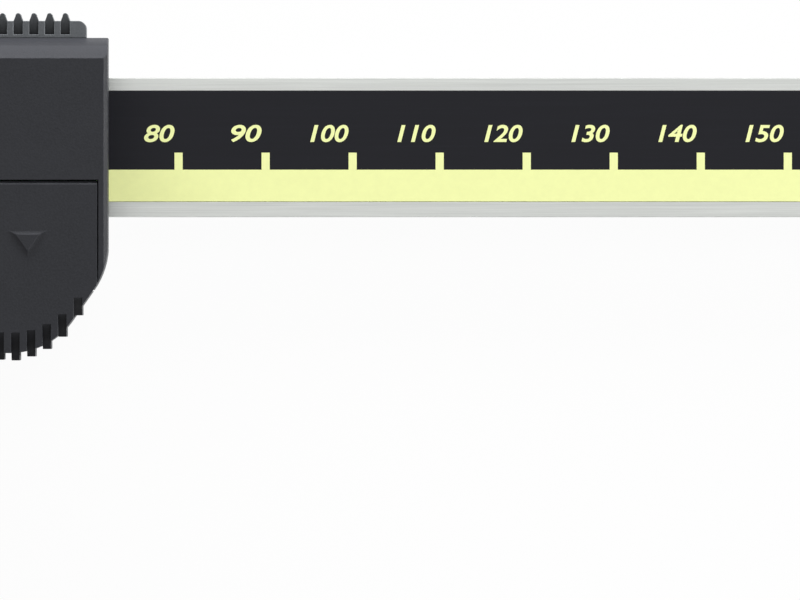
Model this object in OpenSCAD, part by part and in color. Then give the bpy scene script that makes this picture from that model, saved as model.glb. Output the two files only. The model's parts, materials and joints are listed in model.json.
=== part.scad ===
// Digital caliper, lying on its back with the jaws closed.
// X runs along the beam from the closed measuring faces, Y points to the inside jaws and Z out of the
// display. place() then moves the origin to the middle of the outline, on the surface that it lies on.

/* [Beam] */
// Longest length that the caliper measures, and the slider's travel
scale_range = 150; // [100:10:200]
// Height of the beam seen from the front
beam_h = 16; // [15:0.5:18]
// Thickness of the beam
beam_t = 3.5; // [3.3:0.1:4.2]
// Length of beam left past the slider at full travel
beam_tail = 3; // [2:0.5:8]
// Width of the fixed jaw where it leaves the beam
head_w = 8; // [8:0.5:12]

/* [Scale] */
// Width of the printed scale film
film_w = 12.7; // [11:0.1:13]
// How far the film sits above the middle of the beam
film_shift = 0.15; // [0:0.05:0.3]
// Thickness of the scale film
film_t = 0.2; // [0.1:0.05:0.3]
// Thickness of the electrode board under the film
scale_board_t = 0.6; // [0.4:0.1:0.7]
// Length of film before the zero mark
scale_lead = 4; // [2:0.5:6]
// Bare beam after the film's right end
scale_margin = 3; // [1.5:0.5:6]

/* [Outside jaws] */
// Length of the outside jaws below the beam
outside_jaw_len = 40; // [32:1:50]
// Width of an outside jaw's tip
outside_tip_w = 2.6; // [2.4:0.1:4]
// Straight part of the fixed jaw's back below the beam
outside_shoulder = 6; // [3:0.5:10]
// Width of the moving jaw at its root
moving_jaw_w = 9.3; // [7:0.1:11]
// Radius that leads the moving jaw into the slider
moving_jaw_r = 9; // [5:0.5:10]
// Length of the thinned measuring edge
knife_len = 15; // [8:1:20]
// Width of the bevel that thins the measuring edge
knife_w = 2.2; // [1:0.1:2.3]
// Depth of that bevel
knife_d = 1.2; // [0.6:0.1:1.4]
// Radius of the relief at the root of the measuring face
relief_r = 0.8; // [0.4:0.1:1.2]
// Gap left between the closed measuring faces
jaw_gap = 0.02; // [0.01:0.01:0.1]

/* [Inside jaws] */
// Length of the inside jaws above the beam
inside_jaw_len = 21; // [16:0.5:26]
// Width of an inside jaw's tip
inside_tip_w = 0.9; // [0.8:0.1:1.5]
// Width of an inside jaw at its root
inside_root_w = 4; // [3:0.5:5]
// Radius that leads an inside jaw into its base
inside_sweep_r = 8; // [5:0.5:8]
// Gap between the two crossing inside jaws
blade_gap = 0.06; // [0.04:0.01:0.2]
// Width of the inside jaw's edge bevel
blade_bevel_w = 0.75; // [0.4:0.05:0.75]
// Depth of the inside jaw's edge bevel
blade_bevel_d = 1.1; // [0.5:0.1:1.2]

/* [Slider] */
// Length of the slider from its measuring face to its right end
slider_len = 72; // [65:1:80]
// Running gap between the slider and the beam
slide_gap = 0.05; // [0.03:0.01:0.1]
// Thickness of the slider's front wall
front_wall_t = 1.2; // [1:0.1:1.6]
// Height of the rail above the beam
top_rail_h = 2.95; // [2.9:0.05:3.4]
// Height of the rail below the beam
bottom_rail_h = 3.45; // [2.9:0.05:3.8]
// Distance from the measuring face to the frame's front wall
frame_start = 1.5; // [1:0.1:3]
// Distance from the frame's right end to the housing's right end
frame_inset = 1.2; // [0.8:0.1:2]
// Gap between the fixed inside jaw and the top rail
rail_gap = 0.6; // [0.3:0.1:1.5]
// Thickness of the gib strip
gib_t = 0.8; // [0.6:0.05:1]
// Running gap between the gib strip and the beam
gib_gap = 0.03; // [0.02:0.01:0.1]
// Gap between the gib strip and its rail
gib_back_gap = 0.02; // [0.01:0.01:0.1]
// Distance of the gib strip's ends from the rail's ends
gib_inset = 5; // [3:0.5:7]
// Gap between the gib strip's edges and the slider's walls
gib_side_gap = 0.3; // [0.2:0.1:0.6]
// Diameter of the gib set screws
gib_screw_d = 2; // [1.6:0.1:2.2]
// Distance from the measuring face to the first gib screw
gib_screw_start = 17; // [16.5:0.1:19]
// Distance between the gib screws
gib_screw_pitch = 42; // [41:0.5:44]
// How deep the gib screws sit below the rail's top
gib_screw_sink = 0.3; // [0.1:0.1:0.6]

/* [Back plate and depth rod] */
// Thickness of the back plate
back_plate_t = 1.6; // [1.4:0.1:2]
// Distance from the measuring face to the back plate
back_plate_start = 8; // [6.5:0.5:9]
// Corner radius of the back plate
back_plate_r = 2; // [1:0.25:3]
// Diameter of the back plate and end stop screws
plate_screw_d = 1.8; // [1.6:0.1:2]
// Head diameter of these screws
plate_screw_head = 3.2; // [2.8:0.1:3.4]
// Length of these screws
plate_screw_len = 4; // [3.5:0.1:4.2]
// Distance from the measuring face to the first back plate screws
plate_screw_start = 13.4; // [13.2:0.1:14]
// Distance between the back plate screws along the slider
plate_screw_pitch = 41; // [40:0.5:42]
// Length of the end stop plate along the beam
end_plate_len = 11.5; // [9:0.5:14]
// Distance from the end stop plate to the beam's end
end_plate_inset = 0.5; // [0.3:0.1:2]
// Width of beam that shows on each side of the end stop plate
end_plate_margin = 0.5; // [0.3:0.1:1]
// Distance between the end stop screws
end_screw_pitch = 10; // [8:0.5:11]
// Gap left between the back plate and the end stop at full travel
stop_gap = 0.2; // [0.1:0.05:0.5]
// Width of the depth rod
rod_w = 3; // [2.4:0.1:4]
// Thickness of the depth rod
rod_t = 1.7; // [1.2:0.1:1.9]
// Gap around the depth rod in its groove
rod_gap = 0.1; // [0.06:0.01:0.15]
// Length of the depth rod's foot on the back plate
rod_foot_len = 8; // [7:0.5:10]
// How far the foot starts inside the back plate's right end
rod_foot_inset = 10.8; // [10.5:0.1:12]
// Diameter of the depth rod rivets
rivet_d = 1.4; // [1:0.1:1.8]
// Distance between the rivets
rivet_pitch = 4; // [3:0.25:5]

/* [Lock screw] */
// Distance from the measuring face to the lock screw
lock_x = 25; // [22:0.5:30]
// Thread diameter of the lock screw
lock_d = 3; // [2.5:0.1:3.2]
// Diameter of its knurled knob
knob_d = 7; // [6:0.25:7.4]
// Height of the knob
knob_h = 6; // [4:0.5:8]
// Gap between the knob and the housing's top
knob_gap = 0.7; // [0.5:0.1:1.5]
// Number of flutes round the knob
knob_flutes = 24; // [16:1:30]
// Diameter of a flute
flute_d = 0.5; // [0.3:0.05:0.6]
// Chamfer on the knob's ends
knob_chamfer = 0.5; // [0.2:0.1:0.8]
// Radial gap of the lock screw in its hole
lock_gap = 0.08; // [0.05:0.01:0.1]
// Thickness of the pad under the lock screw
pad_t = 1; // [0.7:0.1:1.2]
// Gap between pad and gib strip when the slider is free
pad_gap = 0.27; // [0.27:0.01:0.35]
// Gap between the pad and the screw's tip
pad_seat_gap = 0.02; // [0.01:0.01:0.05]

/* [Housing] */
// Depth of the housing in front of the frame
housing_depth = 8.3; // [8.3:0.1:9.5]
// Distance from the measuring face to the housing's left end
housing_start = 7; // [6:0.1:7]
// How far the housing stands above the top rail
housing_over = 0.7; // [0.4:0.1:1.5]
// How far the housing reaches below the bottom rail
housing_under = 4; // [3.6:0.1:5]
// Corner radius of the housing's left end
housing_r = 2; // [1:0.25:3]
// Thickness of the housing's side walls
housing_wall = 1.2; // [1.1:0.05:1.3]
// Thickness of the housing's top wall
housing_top_wall = 1.9; // [1.6:0.1:2]
// Thickness of the housing's front wall
housing_front_t = 1.4; // [1.3:0.05:1.6]
// Width of the top edge's front facet
front_facet_w = 1.45; // [1:0.05:1.6]
// Drop of the front facet
front_facet_d = 1.3; // [0.8:0.1:1.5]
// Width of the top edge's rear facet
rear_facet_w = 0.9; // [0.5:0.05:1.1]
// Drop of the rear facet
rear_facet_d = 1.8; // [1.2:0.1:2]
// Bevel along the housing's left and right ends
side_bevel = 0.45; // [0.2:0.05:0.8]
// Diameter of the housing screws
housing_screw_d = 1.6; // [1.4:0.1:1.8]
// Head diameter of the housing screws
housing_screw_head = 2.6; // [2.3:0.1:2.6]
// Head height of the housing screws
housing_screw_head_h = 1; // [0.8:0.1:1.2]
// Length of the housing screws in the housing
housing_screw_grip = 4.5; // [3:0.5:5]
// Diameter of the housing's screw bosses
boss_d = 3; // [2.8:0.1:3.2]
// Distance from the measuring face to the first housing screws
housing_screw_start = 10; // [9.8:0.1:10.2]
// Distance between the housing screws along the slider
housing_screw_pitch = 32; // [31.7:0.1:35]
// Gap round parts that are set into the housing
fit_gap = 0.1; // [0.05:0.01:0.15]

/* [Thumb rest] */
// Radius of the thumb rest's lower end
bulge_r = 8.73; // [8.5:0.05:9.5]
// Distance from its middle to the slider's right end
bulge_inset = 11.24; // [11:0.05:12]
// How far it reaches below the housing's lower edge
bulge_drop = 8.1; // [7.8:0.1:9]
// Radius of the housing's lower right shoulder
shoulder_r = 9; // [8:0.25:10]
// Distance of the shoulder below the beam's lower edge
shoulder_drop = 3.2; // [2.5:0.1:4]
// Radius that leads the thumb rest into the lower edge
bulge_fillet_r = 3; // [2:0.25:4]
// How far the thumb rest reaches behind the housing's seat
bulge_back = 1.8; // [1:0.1:3]
// Gap between the thumb rest and the bottom rail
bulge_gap = 0.15; // [0.1:0.05:0.3]
// Pitch of the thumb rest's ribs
rib_pitch = 1.79; // [1.6:0.01:2]
// Width of a rib
rib_w = 0.95; // [0.7:0.05:1.1]
// Height of a rib
rib_h = 0.95; // [0.5:0.05:1.2]
// Number of ribs
rib_count = 9; // [5:1:9]
// Distance from the first rib to the slider's right end
rib_inset = 3.4; // [3.2:0.05:4]
// Length of the scoop that leads a rib out of the face
scoop_len = 3.3; // [2.5:0.1:4]
// Depth of that scoop at the rib's end
scoop_d = 2.2; // [1.6:0.1:2.4]
// Distance past a rib's outer side at which its flat end meets the outer round
rib_step = 0.3; // [0.1:0.05:0.4]

/* [Battery] */
// Diameter of the button cell
battery_d = 11.6; // [11:0.1:11.8]
// Height of the button cell
battery_h = 5.4; // [5:0.1:5.6]
// Distance from the cell's middle to the slider's right end
battery_inset = 11.7; // [11.5:0.05:12]
// Distance of the cell's middle below the beam's lower edge
battery_drop = 5; // [4.8:0.1:5.2]
// Gap round the cell in its well
battery_gap = 0.15; // [0.1:0.05:0.25]
// Thickness of the well's wall
well_wall = 0.7; // [0.5:0.05:0.75]
// Thickness of the battery contacts
contact_t = 0.25; // [0.2:0.05:0.3]
// Width of the spring contact under the cell
spring_w = 1.6; // [1.2:0.1:2]
// Distance of the spring contact from the cell's middle
spring_offset = 3.3; // [3:0.1:4]
// Width of the clip contact beside the cell
clip_w = 3.6; // [3:0.1:4]
// Length of a contact's foot on the circuit board
contact_foot = 1.6; // [1:0.1:2]

/* [Battery cover] */
// Distance from the cover's top edge to the beam's middle
cover_top = 3.9; // [3.7:0.1:4.1]
// Width of housing that shows right of the cover
cover_inset = 1.2; // [1.1:0.05:1.4]
// Width of the cover
cover_w = 19.3; // [19:0.1:19.5]
// Thickness of the cover's plate
cover_t = 1.6; // [1.5:0.05:1.65]
// Thickness of the cover's lower wall
cover_wall = 2; // [1.6:0.1:2.1]
// Distance from the seam of the lower wall to the housing's lower edge
cover_seam = 1; // [0.6:0.1:1.6]
// Gap round the cover
cover_gap = 0.12; // [0.08:0.01:0.15]
// Width of the cover's guide flanges
flange_w = 0.55; // [0.4:0.05:0.6]
// Thickness of the guide flanges
flange_t = 0.6; // [0.4:0.05:0.8]
// Length of the guide flanges
flange_len = 10; // [6:0.5:10.5]
// Width of the triangle mark
mark_w = 4.6; // [3:0.1:6]
// Length of the triangle mark from its top to its point
mark_h = 2.7; // [2:0.1:4]
// How far the triangle mark stands out of the face
mark_d = 0.3; // [0.1:0.05:0.4]
// Distance of the mark's top from the cover's top edge
mark_drop = 5.9; // [4:0.1:7]
// Distance of the mark's middle from the slider's right end
mark_inset = 9.3; // [8:0.1:12]
// Thickness of the walls between battery and electronics
partition_t = 0.8; // [0.6:0.1:0.9]

/* [Data port] */
// Distance from the port cover's right end to the slider's right end
port_cover_inset = 2.5; // [2:0.1:3]
// Length of the port cover
port_cover_len = 19.3; // [19:0.1:21]
// Height of the port cover above the housing, without its ribs
port_cover_h = 1.95; // [1.9:0.05:2.2]
// Depth of the port cover from front to back
port_cover_d = 5.1; // [4.9:0.05:5.2]
// Gap between the port cover and the housing
port_cover_gap = 0.05; // [0.03:0.01:0.1]
// Wall at the port cover's closed end
port_cover_end = 1.1; // [1:0.1:1.4]
// Rounding of the port cover's outer corners
port_cover_r = 0.9; // [0.5:0.05:1]
// Pitch of the port cover's ribs
grip_pitch = 1.8; // [1.6:0.05:2]
// Width of a rib on the port cover
grip_w = 1.05; // [0.8:0.05:1.1]
// Width of such a rib at its tip
grip_tip = 0.6; // [0.4:0.05:0.7]
// Height of a rib on the port cover
grip_h = 0.9; // [0.6:0.05:1]
// Number of ribs on the port cover
grip_count = 9; // [5:1:9]
// Distance from the first rib to the port cover's right end
grip_inset = 2.4; // [2.3:0.05:3]
// Depth of the notch in front of each rib
grip_notch_d = 0.6; // [0.3:0.05:0.7]
// Height of the notch's foot above the housing
grip_notch_lift = 0.4; // [0.3:0.05:0.8]
// Height of the guide rail under the port cover
rail_h = 1.1; // [1:0.05:1.2]
// Height of the rail's head
rail_head_h = 0.5; // [0.4:0.05:0.6]
// Width of the rail's head
rail_head_w = 3.6; // [3.5:0.05:3.7]
// Width of the rail's neck
rail_neck_w = 3.1; // [3:0.05:3.2]
// Length of the port's mouth
port_len = 11; // [9:0.5:12]
// Width of the port's mouth
port_w = 2.2; // [1.8:0.1:2.4]
// How far the socket sits below the rail's top
port_sink = 0.6; // [0.3:0.1:0.8]
// Number of contacts in the port
port_pins = 5; // [3:1:5]
// Pitch of the contacts
pin_pitch = 2; // [1.5:0.1:2.1]
// Width of a contact
pin_w = 0.9; // [0.6:0.1:1.2]
// Thickness of a contact
pin_t = 0.2; // [0.1:0.05:0.3]

/* [Display] */
// Distance from the measuring face to the display's visible area
view_start = 13; // [12.8:0.1:13.5]
// Width of the visible area
view_w = 26; // [23:0.5:28]
// Height of the visible area
view_h = 10.5; // [9:0.25:11]
// Distance from the visible area's lower edge to the beam's middle
view_low = 3.2; // [3:0.1:3.4]
// Corner radius of the visible area
view_r = 0.8; // [0.5:0.1:1.5]
// Width of the ledge that carries the window
ledge_w = 0.9; // [0.6:0.1:1]
// Thickness of the window
window_t = 0.8; // [0.5:0.05:0.9]
// How deep the window sits below the housing's face
window_sink = 0.1; // [0.05:0.05:0.2]
// How far the display panel reaches past the visible area
panel_lap = 1.2; // [1:0.1:1.25]
// Thickness of the display panel
panel_t = 2; // [1.6:0.1:2.4]
// Width of a display connector strip
connector_w = 1.1; // [0.8:0.05:1.2]

/* [Electronics] */
// Thickness of the circuit board
board_t = 0.8; // [0.6:0.1:1]
// Gap round the circuit board
board_gap = 0.3; // [0.2:0.05:0.4]
// Distance from the measuring face to the circuit board
board_start = 12; // [11.8:0.1:12.2]
// Width of the circuit board's lower part
board_w = 28; // [27:0.1:31]
// Gap between the sensor board and the scale
sensor_gap = 0.2; // [0.1:0.05:0.3]
// Distance from the measuring face to the sensor board
sensor_start = 13; // [12.5:0.5:16]
// Length of the sensor board
sensor_len = 34; // [30:0.5:36]
// Width of the sensor board
sensor_w = 11; // [9:0.25:12]
// Gap round the sensor board in the frame
sensor_rim = 0.4; // [0.2:0.1:0.6]
// Side of the controller chip
chip_w = 7; // [5:0.5:7.5]
// Height of the controller chip
chip_h = 1; // [0.8:0.1:1.6]
// Distance from the measuring face to the chip's middle
chip_x = 27; // [22:0.5:34]

/* [Buttons] */
// Distance of the buttons' middle below the beam's middle
button_drop = 9.2; // [9:0.1:9.4]
// Width of the zero and power buttons
button_w = 8.4; // [6:0.2:8.6]
// Height of the zero and power buttons
button_h = 4.4; // [3.5:0.1:4.6]
// Corner radius of these buttons
button_r = 1.2; // [0.6:0.1:1.6]
// How far the buttons stand out of the face
button_proud = 0.45; // [0.45:0.05:0.7]
// Travel of a button
button_travel = 0.4; // [0.2:0.05:0.4]
// Gap round a button in its hole
button_gap = 0.15; // [0.1:0.05:0.2]
// Width of the flange that keeps a button in
button_flange_w = 0.7; // [0.4:0.05:0.8]
// Thickness of that flange
button_flange_t = 0.7; // [0.5:0.05:1]
// Gap between a button's flange and the wall above it
button_seat_gap = 0.05; // [0.02:0.01:0.1]
// Diameter of a button's stem
stem_d = 2; // [1.5:0.1:2.4]
// Gap between stem and switch when the button is pressed
stem_gap = 0.04; // [0.03:0.01:0.1]
// Distance from the measuring face to the zero button
zero_x = 17; // [16.8:0.1:17.2]
// Distance from the measuring face to the origin button
origin_x = 26; // [25:0.1:27]
// Diameter of the origin button
origin_d = 3.2; // [2.6:0.1:3.6]
// Distance from the measuring face to the power button
power_x = 35; // [34:0.1:35.4]
// Diameter of a switch dome
dome_d = 4.4; // [3.5:0.1:4.6]
// Height of a switch dome
dome_h = 0.35; // [0.25:0.05:0.5]

/* [Hidden] */
$fn = 64;

// Overlap that makes two shapes of one piece a single solid, and the reach of a cut past a face
fuse = 0.5;
reach = 60;
screw_slot_w = 0.45;
screw_slot_d = 0.45;
screw_gap = 0.05;

// Heights above the surface that the caliper lies on
half_h = beam_h / 2;
z_beam = back_plate_t + slide_gap;
z_beam_front = z_beam + beam_t;
z_wall = z_beam_front + slide_gap;
z_frame = z_wall + front_wall_t;
z_board = z_frame + board_t;
z_front = z_frame + housing_depth;
z_inner = z_front - housing_front_t;
z_lock = (back_plate_t + z_frame) / 2;
blade_t = (beam_t - blade_gap) / 2;
scale_depth = scale_board_t + film_t;

// Stations along the beam
beam_end = slider_len + scale_range + beam_tail;
film_end = beam_end - scale_margin;
frame_end = slider_len - frame_inset;
rail_start = inside_root_w + rail_gap;
back_plate_end = beam_end - end_plate_inset - end_plate_len - scale_range - stop_gap;
end_screw_x = beam_end - end_plate_inset - end_plate_len / 2;
rod_start = back_plate_end - rod_foot_inset;

// Stations across the beam
top_in = half_h + gib_gap + gib_t + gib_back_gap;
top_out = top_in + top_rail_h;
top_mid = (top_in + top_out) / 2;
bottom_in = half_h + slide_gap;
bottom_out = bottom_in + bottom_rail_h;
bottom_mid = -(bottom_in + bottom_out) / 2;
housing_top = top_out + housing_over;
housing_low = bottom_out + housing_under;
jaw_tip = half_h + outside_jaw_len;
blade_tip = half_h + inside_jaw_len;

// Outline of the thumb rest: two circles and the line that touches both
bulge_c = [slider_len - bulge_inset, bulge_r - housing_low - bulge_drop];
shoulder_c = [slider_len - shoulder_r, -half_h - shoulder_drop];
between = shoulder_c - bulge_c;
tangent_a = atan2(between.y, between.x) - acos((bulge_r - shoulder_r) / norm(between));
tangent_n = [cos(tangent_a), sin(tangent_a)];
fillet_y = -housing_low - bulge_fillet_r;
fillet_reach = bulge_r + bulge_fillet_r;
fillet_c = [bulge_c.x - sqrt(fillet_reach ^ 2 - (fillet_y - bulge_c.y) ^ 2), fillet_y];
fillet_end = bulge_c + (fillet_c - bulge_c) * bulge_r / fillet_reach;
z_bulge = z_frame - bulge_back;

// Battery and its cover
battery_c = [slider_len - battery_inset, -half_h - battery_drop];
cover_end = slider_len - cover_inset;
cover_start = cover_end - cover_w;
seam_y = -housing_low - cover_seam;
z_plate = z_front - cover_t;
z_flange = z_inner - cover_gap / 2 - flange_t;
well_r = battery_d / 2 + battery_gap;
partition_y = -cover_top + 2 * cover_gap;
partition_x = cover_start - flange_w - 2 * cover_gap - partition_t;

// Circuit board
board_low = -bottom_out + board_gap;
board_top = housing_top - housing_top_wall - board_gap;
board_end = slider_len - housing_wall - board_gap;
board_step = battery_c.y + well_r + well_wall + board_gap;

// Display and its connectors
view_top = view_h - view_low;
z_panel = z_inner - panel_t;

// Data port
port_cover_end_x = slider_len - port_cover_inset;
port_cover_start = port_cover_end_x - port_cover_len;
guide_end = port_cover_end_x - port_cover_end - fit_gap;
guide_start = port_cover_start + fit_gap;
port_x = (guide_start + guide_end) / 2;
port_cover_front = z_front - front_facet_d - rear_facet_d;
port_z = port_cover_front - port_cover_d / 2;
guide_top = housing_top + rail_h;
port_cover_top = housing_top + port_cover_h;
port_ledge = housing_top - housing_top_wall;

// Screw places, seen from the front
plate_screws = [for (i = [0, 1], y = [bottom_mid, top_mid]) [plate_screw_start + i * plate_screw_pitch, y]];
end_screws = [for (s = [-1, 1]) [end_screw_x, s * end_screw_pitch / 2]];
housing_screw_xy = [
    for (i = [0, 1], y = [bottom_mid, top_mid]) [housing_screw_start + i * housing_screw_pitch, y]
];
rivets = [for (s = [-1, 1]) [rod_start + rod_foot_len / 2 + s * rivet_pitch / 2, 0]];
gib_screw_xs = [for (i = [0, 1]) gib_screw_start + i * gib_screw_pitch];

// Moves the origin to the middle of the outline
module place() {
    translate([(head_w - beam_end) / 2, (outside_jaw_len - inside_jaw_len) / 2, 0]) children();
}

// Box between two corners
module span(low, high) {
    translate(low) cube(high - low);
}

// Flat shape between two heights
module slab(z0, z1) {
    translate([0, 0, z0]) linear_extrude(z1 - z0) children();
}

// Shape drawn in X and Z, carried from y0 to y1
module along_y(y0, y1) {
    translate([0, y1, 0]) rotate([90, 0, 0]) linear_extrude(y1 - y0) children();
}

// Shape drawn in Y and Z, carried from x0 to x1
module along_x(x0, x1) {
    translate([x0, 0, 0]) rotate([90, 0, 90]) linear_extrude(x1 - x0) children();
}

// Rectangle with round corners, between two corners
module rounded(low, high, r) {
    translate([low.x + r, low.y]) square([high.x - low.x - 2 * r, high.y - low.y]);
    translate([low.x, low.y + r]) square([high.x - low.x, high.y - low.y - 2 * r]);
    for (x = [low.x + r, high.x - r], y = [low.y + r, high.y - r]) translate([x, y]) circle(r);
}

// Countersunk screw with a cross slot, its head flush at the surface that the caliper lies on
module countersunk(d, head, len, gap) {
    cylinder(h = (head - d) / 2, r1 = head / 2 + gap, r2 = d / 2 + gap);
    cylinder(h = len + gap, d = d + 2 * gap);
}

module cross_slot(head) {
    for (a = [0, 90]) rotate(a) translate([-head / 3, -screw_slot_w / 2, -fuse])
        cube([2 * head / 3, screw_slot_w, screw_slot_d + fuse]);
}

module countersunk_screws(places) {
    for (p = places) translate(p) difference() {
        countersunk(plate_screw_d, plate_screw_head, plate_screw_len, 0);
        cross_slot(plate_screw_head);
    }
}

module countersunk_holes(places) {
    for (p = places) translate(p) countersunk(plate_screw_d, plate_screw_head, plate_screw_len, screw_gap);
}

// Inside jaw with its edge at x = 0, its material on the right and its base swept to the left
module inside_jaw_2d(base) {
    sweep_top = half_h + inside_sweep_r;
    difference() {
        polygon([
            [-inside_sweep_r, base], [-inside_sweep_r, sweep_top], [0, sweep_top], [0, blade_tip],
            [inside_tip_w, blade_tip], [inside_root_w, base]
        ]);
        translate([-inside_sweep_r, sweep_top]) circle(inside_sweep_r);
    }
}

// Bevels that thin an outside jaw's measuring edge; side is -1 for the fixed jaw, 1 for the moving one
module knife_bevels(side) {
    for (face = [[z_beam, 1], [z_beam_front, -1]]) along_y(-jaw_tip - fuse, -jaw_tip + knife_len)
        polygon([
            [-side * fuse, face[0] - face[1] * fuse],
            [side * knife_w, face[0] - face[1] * fuse],
            [side * knife_w, face[0]],
            [0, face[0] + face[1] * knife_d],
            [-side * fuse, face[0] + face[1] * knife_d]
        ]);
}

module main_beam() {
    color("gainsboro") place() difference() {
        union() {
            span([-head_w, -half_h, z_beam], [beam_end, half_h, z_beam_front]);
            slab(z_beam, z_beam_front) polygon([
                [-head_w, 0], [-head_w, -half_h - outside_shoulder], [-outside_tip_w, -jaw_tip],
                [0, -jaw_tip], [0, 0]
            ]);
            slab(z_beam, z_beam + blade_t) inside_jaw_2d(half_h - fuse);
        }
        slab(z_beam_front - scale_depth, z_beam_front + fuse) film_outline();
        span([rod_start - rod_gap, -rod_w / 2 - rod_gap, z_beam - fuse],
             [beam_end + fuse, rod_w / 2 + rod_gap, z_beam + rod_t + 2 * rod_gap]);
        countersunk_holes(end_screws);
        knife_bevels(-1);
        translate([0, -half_h, z_beam - fuse]) cylinder(h = beam_t + 2 * fuse, r = relief_r);
        along_y(half_h + inside_sweep_r, blade_tip + fuse) polygon([
            [-fuse, z_beam - fuse], [blade_bevel_w, z_beam - fuse], [blade_bevel_w, z_beam],
            [0, z_beam + blade_bevel_d], [-fuse, z_beam + blade_bevel_d]
        ]);
    }
}

module film_outline() {
    translate([-scale_lead, film_shift - film_w / 2]) square([film_end + scale_lead, film_w]);
}

module scale_board() {
    color("darkgreen") place() slab(z_beam_front - scale_depth, z_beam_front - film_t) film_outline();
}

module scale_film() {
    color("black") place() slab(z_beam_front - film_t, z_beam_front) film_outline();
}

module end_stop_plate() {
    plate_h = half_h - end_plate_margin;
    color("silver") place() difference() {
        slab(0, z_beam) rounded([beam_end - end_plate_inset - end_plate_len, -plate_h],
                                [beam_end - end_plate_inset, plate_h], back_plate_r);
        countersunk_holes(end_screws);
    }
}

module end_stop_screws() {
    color("dimgray") place() countersunk_screws(end_screws);
}

// Moving outside jaw, with its measuring face on the left
module moving_jaw_2d() {
    root = -bottom_out;
    difference() {
        polygon([
            [jaw_gap, -bottom_in], [jaw_gap, -jaw_tip], [outside_tip_w, -jaw_tip],
            [moving_jaw_w, root - moving_jaw_r], [moving_jaw_w + moving_jaw_r, root],
            [moving_jaw_w + moving_jaw_r, -bottom_in]
        ]);
        translate([moving_jaw_w + moving_jaw_r, root - moving_jaw_r]) circle(moving_jaw_r);
    }
}

module slider_frame() {
    color("lightgray") place() difference() {
        union() {
            span([frame_start, -bottom_out, z_wall], [frame_end, top_out, z_frame]);
            span([rail_start, top_in, back_plate_t], [frame_end, top_out, z_frame]);
            span([frame_start, -bottom_out, back_plate_t], [frame_end, -bottom_in, z_frame]);
            slab(z_beam, z_beam_front) moving_jaw_2d();
            slab(z_beam + blade_t + blade_gap, z_beam_front)
                mirror([1, 0, 0]) inside_jaw_2d(half_h + slide_gap);
            span([frame_start, half_h + slide_gap, z_beam + blade_t + blade_gap],
                 [rail_start + fuse, top_out, z_frame]);
        }
        slab(z_wall - fuse, z_frame + fuse) sensor_2d(sensor_rim);
        translate([jaw_gap, 0, 0]) knife_bevels(1);
        translate([0, -half_h, z_beam - fuse]) cylinder(h = beam_t + fuse, r = relief_r);
        along_y(half_h + inside_sweep_r, blade_tip + fuse) polygon([
            [fuse, z_beam_front + fuse], [-blade_bevel_w, z_beam_front + fuse],
            [-blade_bevel_w, z_beam_front], [0, z_beam_front - blade_bevel_d],
            [fuse, z_beam_front - blade_bevel_d]
        ]);
        countersunk_holes(plate_screws);
        for (p = housing_screw_xy) translate([p.x, p.y, back_plate_t - fuse]) {
            cylinder(h = fuse + housing_screw_head_h, d = housing_screw_head + 2 * screw_gap);
            cylinder(h = reach, d = housing_screw_d + 2 * screw_gap);
        }
        for (x = gib_screw_xs) translate([x, 0, z_lock]) rotate([-90, 0, 0])
            cylinder(h = reach, d = gib_screw_d + 2 * screw_gap);
        translate([lock_x, 0, z_lock]) rotate([-90, 0, 0]) cylinder(h = reach, d = lock_d + 2 * lock_gap);
    }
}

module back_plate() {
    color("silver") place() difference() {
        slab(0, back_plate_t)
            rounded([back_plate_start, -bottom_out], [back_plate_end, top_out], back_plate_r);
        countersunk_holes(plate_screws);
        for (p = rivets) translate([p.x, p.y, -fuse]) cylinder(h = reach, d = rivet_d + 2 * screw_gap);
    }
}

module back_plate_screws() {
    color("dimgray") place() countersunk_screws(plate_screws);
}

module gib_strip() {
    low = half_h + gib_gap;
    color("goldenrod") place() span(
        [rail_start + gib_inset, low, z_beam + gib_side_gap],
        [frame_end - gib_inset, low + gib_t, z_beam_front - gib_side_gap]
    );
}

module gib_screws() {
    low = half_h + gib_gap + gib_t;
    high = top_out - gib_screw_sink;
    color("dimgray") place() for (x = gib_screw_xs) difference() {
        translate([x, low, z_lock]) rotate([-90, 0, 0]) cylinder(h = high - low, d = gib_screw_d);
        span([x - gib_screw_d, high - screw_slot_d, z_lock - screw_slot_w / 2],
             [x + gib_screw_d, high + fuse, z_lock + screw_slot_w / 2]);
    }
}

module depth_rod() {
    low = z_beam + rod_gap;
    color("silver") place() difference() {
        union() {
            span([rod_start, -rod_w / 2, low], [beam_end, rod_w / 2, low + rod_t]);
            span([rod_start, -rod_w / 2, back_plate_t], [rod_start + rod_foot_len, rod_w / 2, low + fuse]);
        }
        for (p = rivets) translate(p)
            cylinder(h = low + rod_t / 2 + screw_gap, d = rivet_d + 2 * screw_gap);
    }
}

module depth_rod_rivets() {
    color("dimgray") place() for (p = rivets) translate(p)
        cylinder(h = z_beam + rod_gap + rod_t / 2, d = rivet_d);
}

// Thumb rest seen from the front, shrunk on its free sides by inset
module bulge_2d(inset) {
    translate(shoulder_c) circle(shoulder_r - inset);
    translate(bulge_c) circle(bulge_r - inset);
    polygon([
        shoulder_c, shoulder_c + (shoulder_r - inset) * tangent_n,
        bulge_c + (bulge_r - inset) * tangent_n, bulge_c
    ]);
}

// Hollow corner where the thumb rest meets the housing's lower edge
module bulge_fillet_2d() {
    difference() {
        polygon([[fillet_c.x, -housing_low + fuse], [fillet_c.x, -housing_low], fillet_end, bulge_c]);
        translate(fillet_c) circle(bulge_fillet_r);
    }
}

module housing_2d() {
    difference() {
        rounded([housing_start, -housing_low], [bulge_c.x + housing_r, housing_top], housing_r);
        translate([bulge_c.x, -reach]) square([reach, 2 * reach]);
    }
    translate([bulge_c.x - fuse, shoulder_c.y])
        square([slider_len - bulge_c.x + fuse, housing_top - shoulder_c.y]);
    bulge_2d(0);
    bulge_fillet_2d();
}

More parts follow.
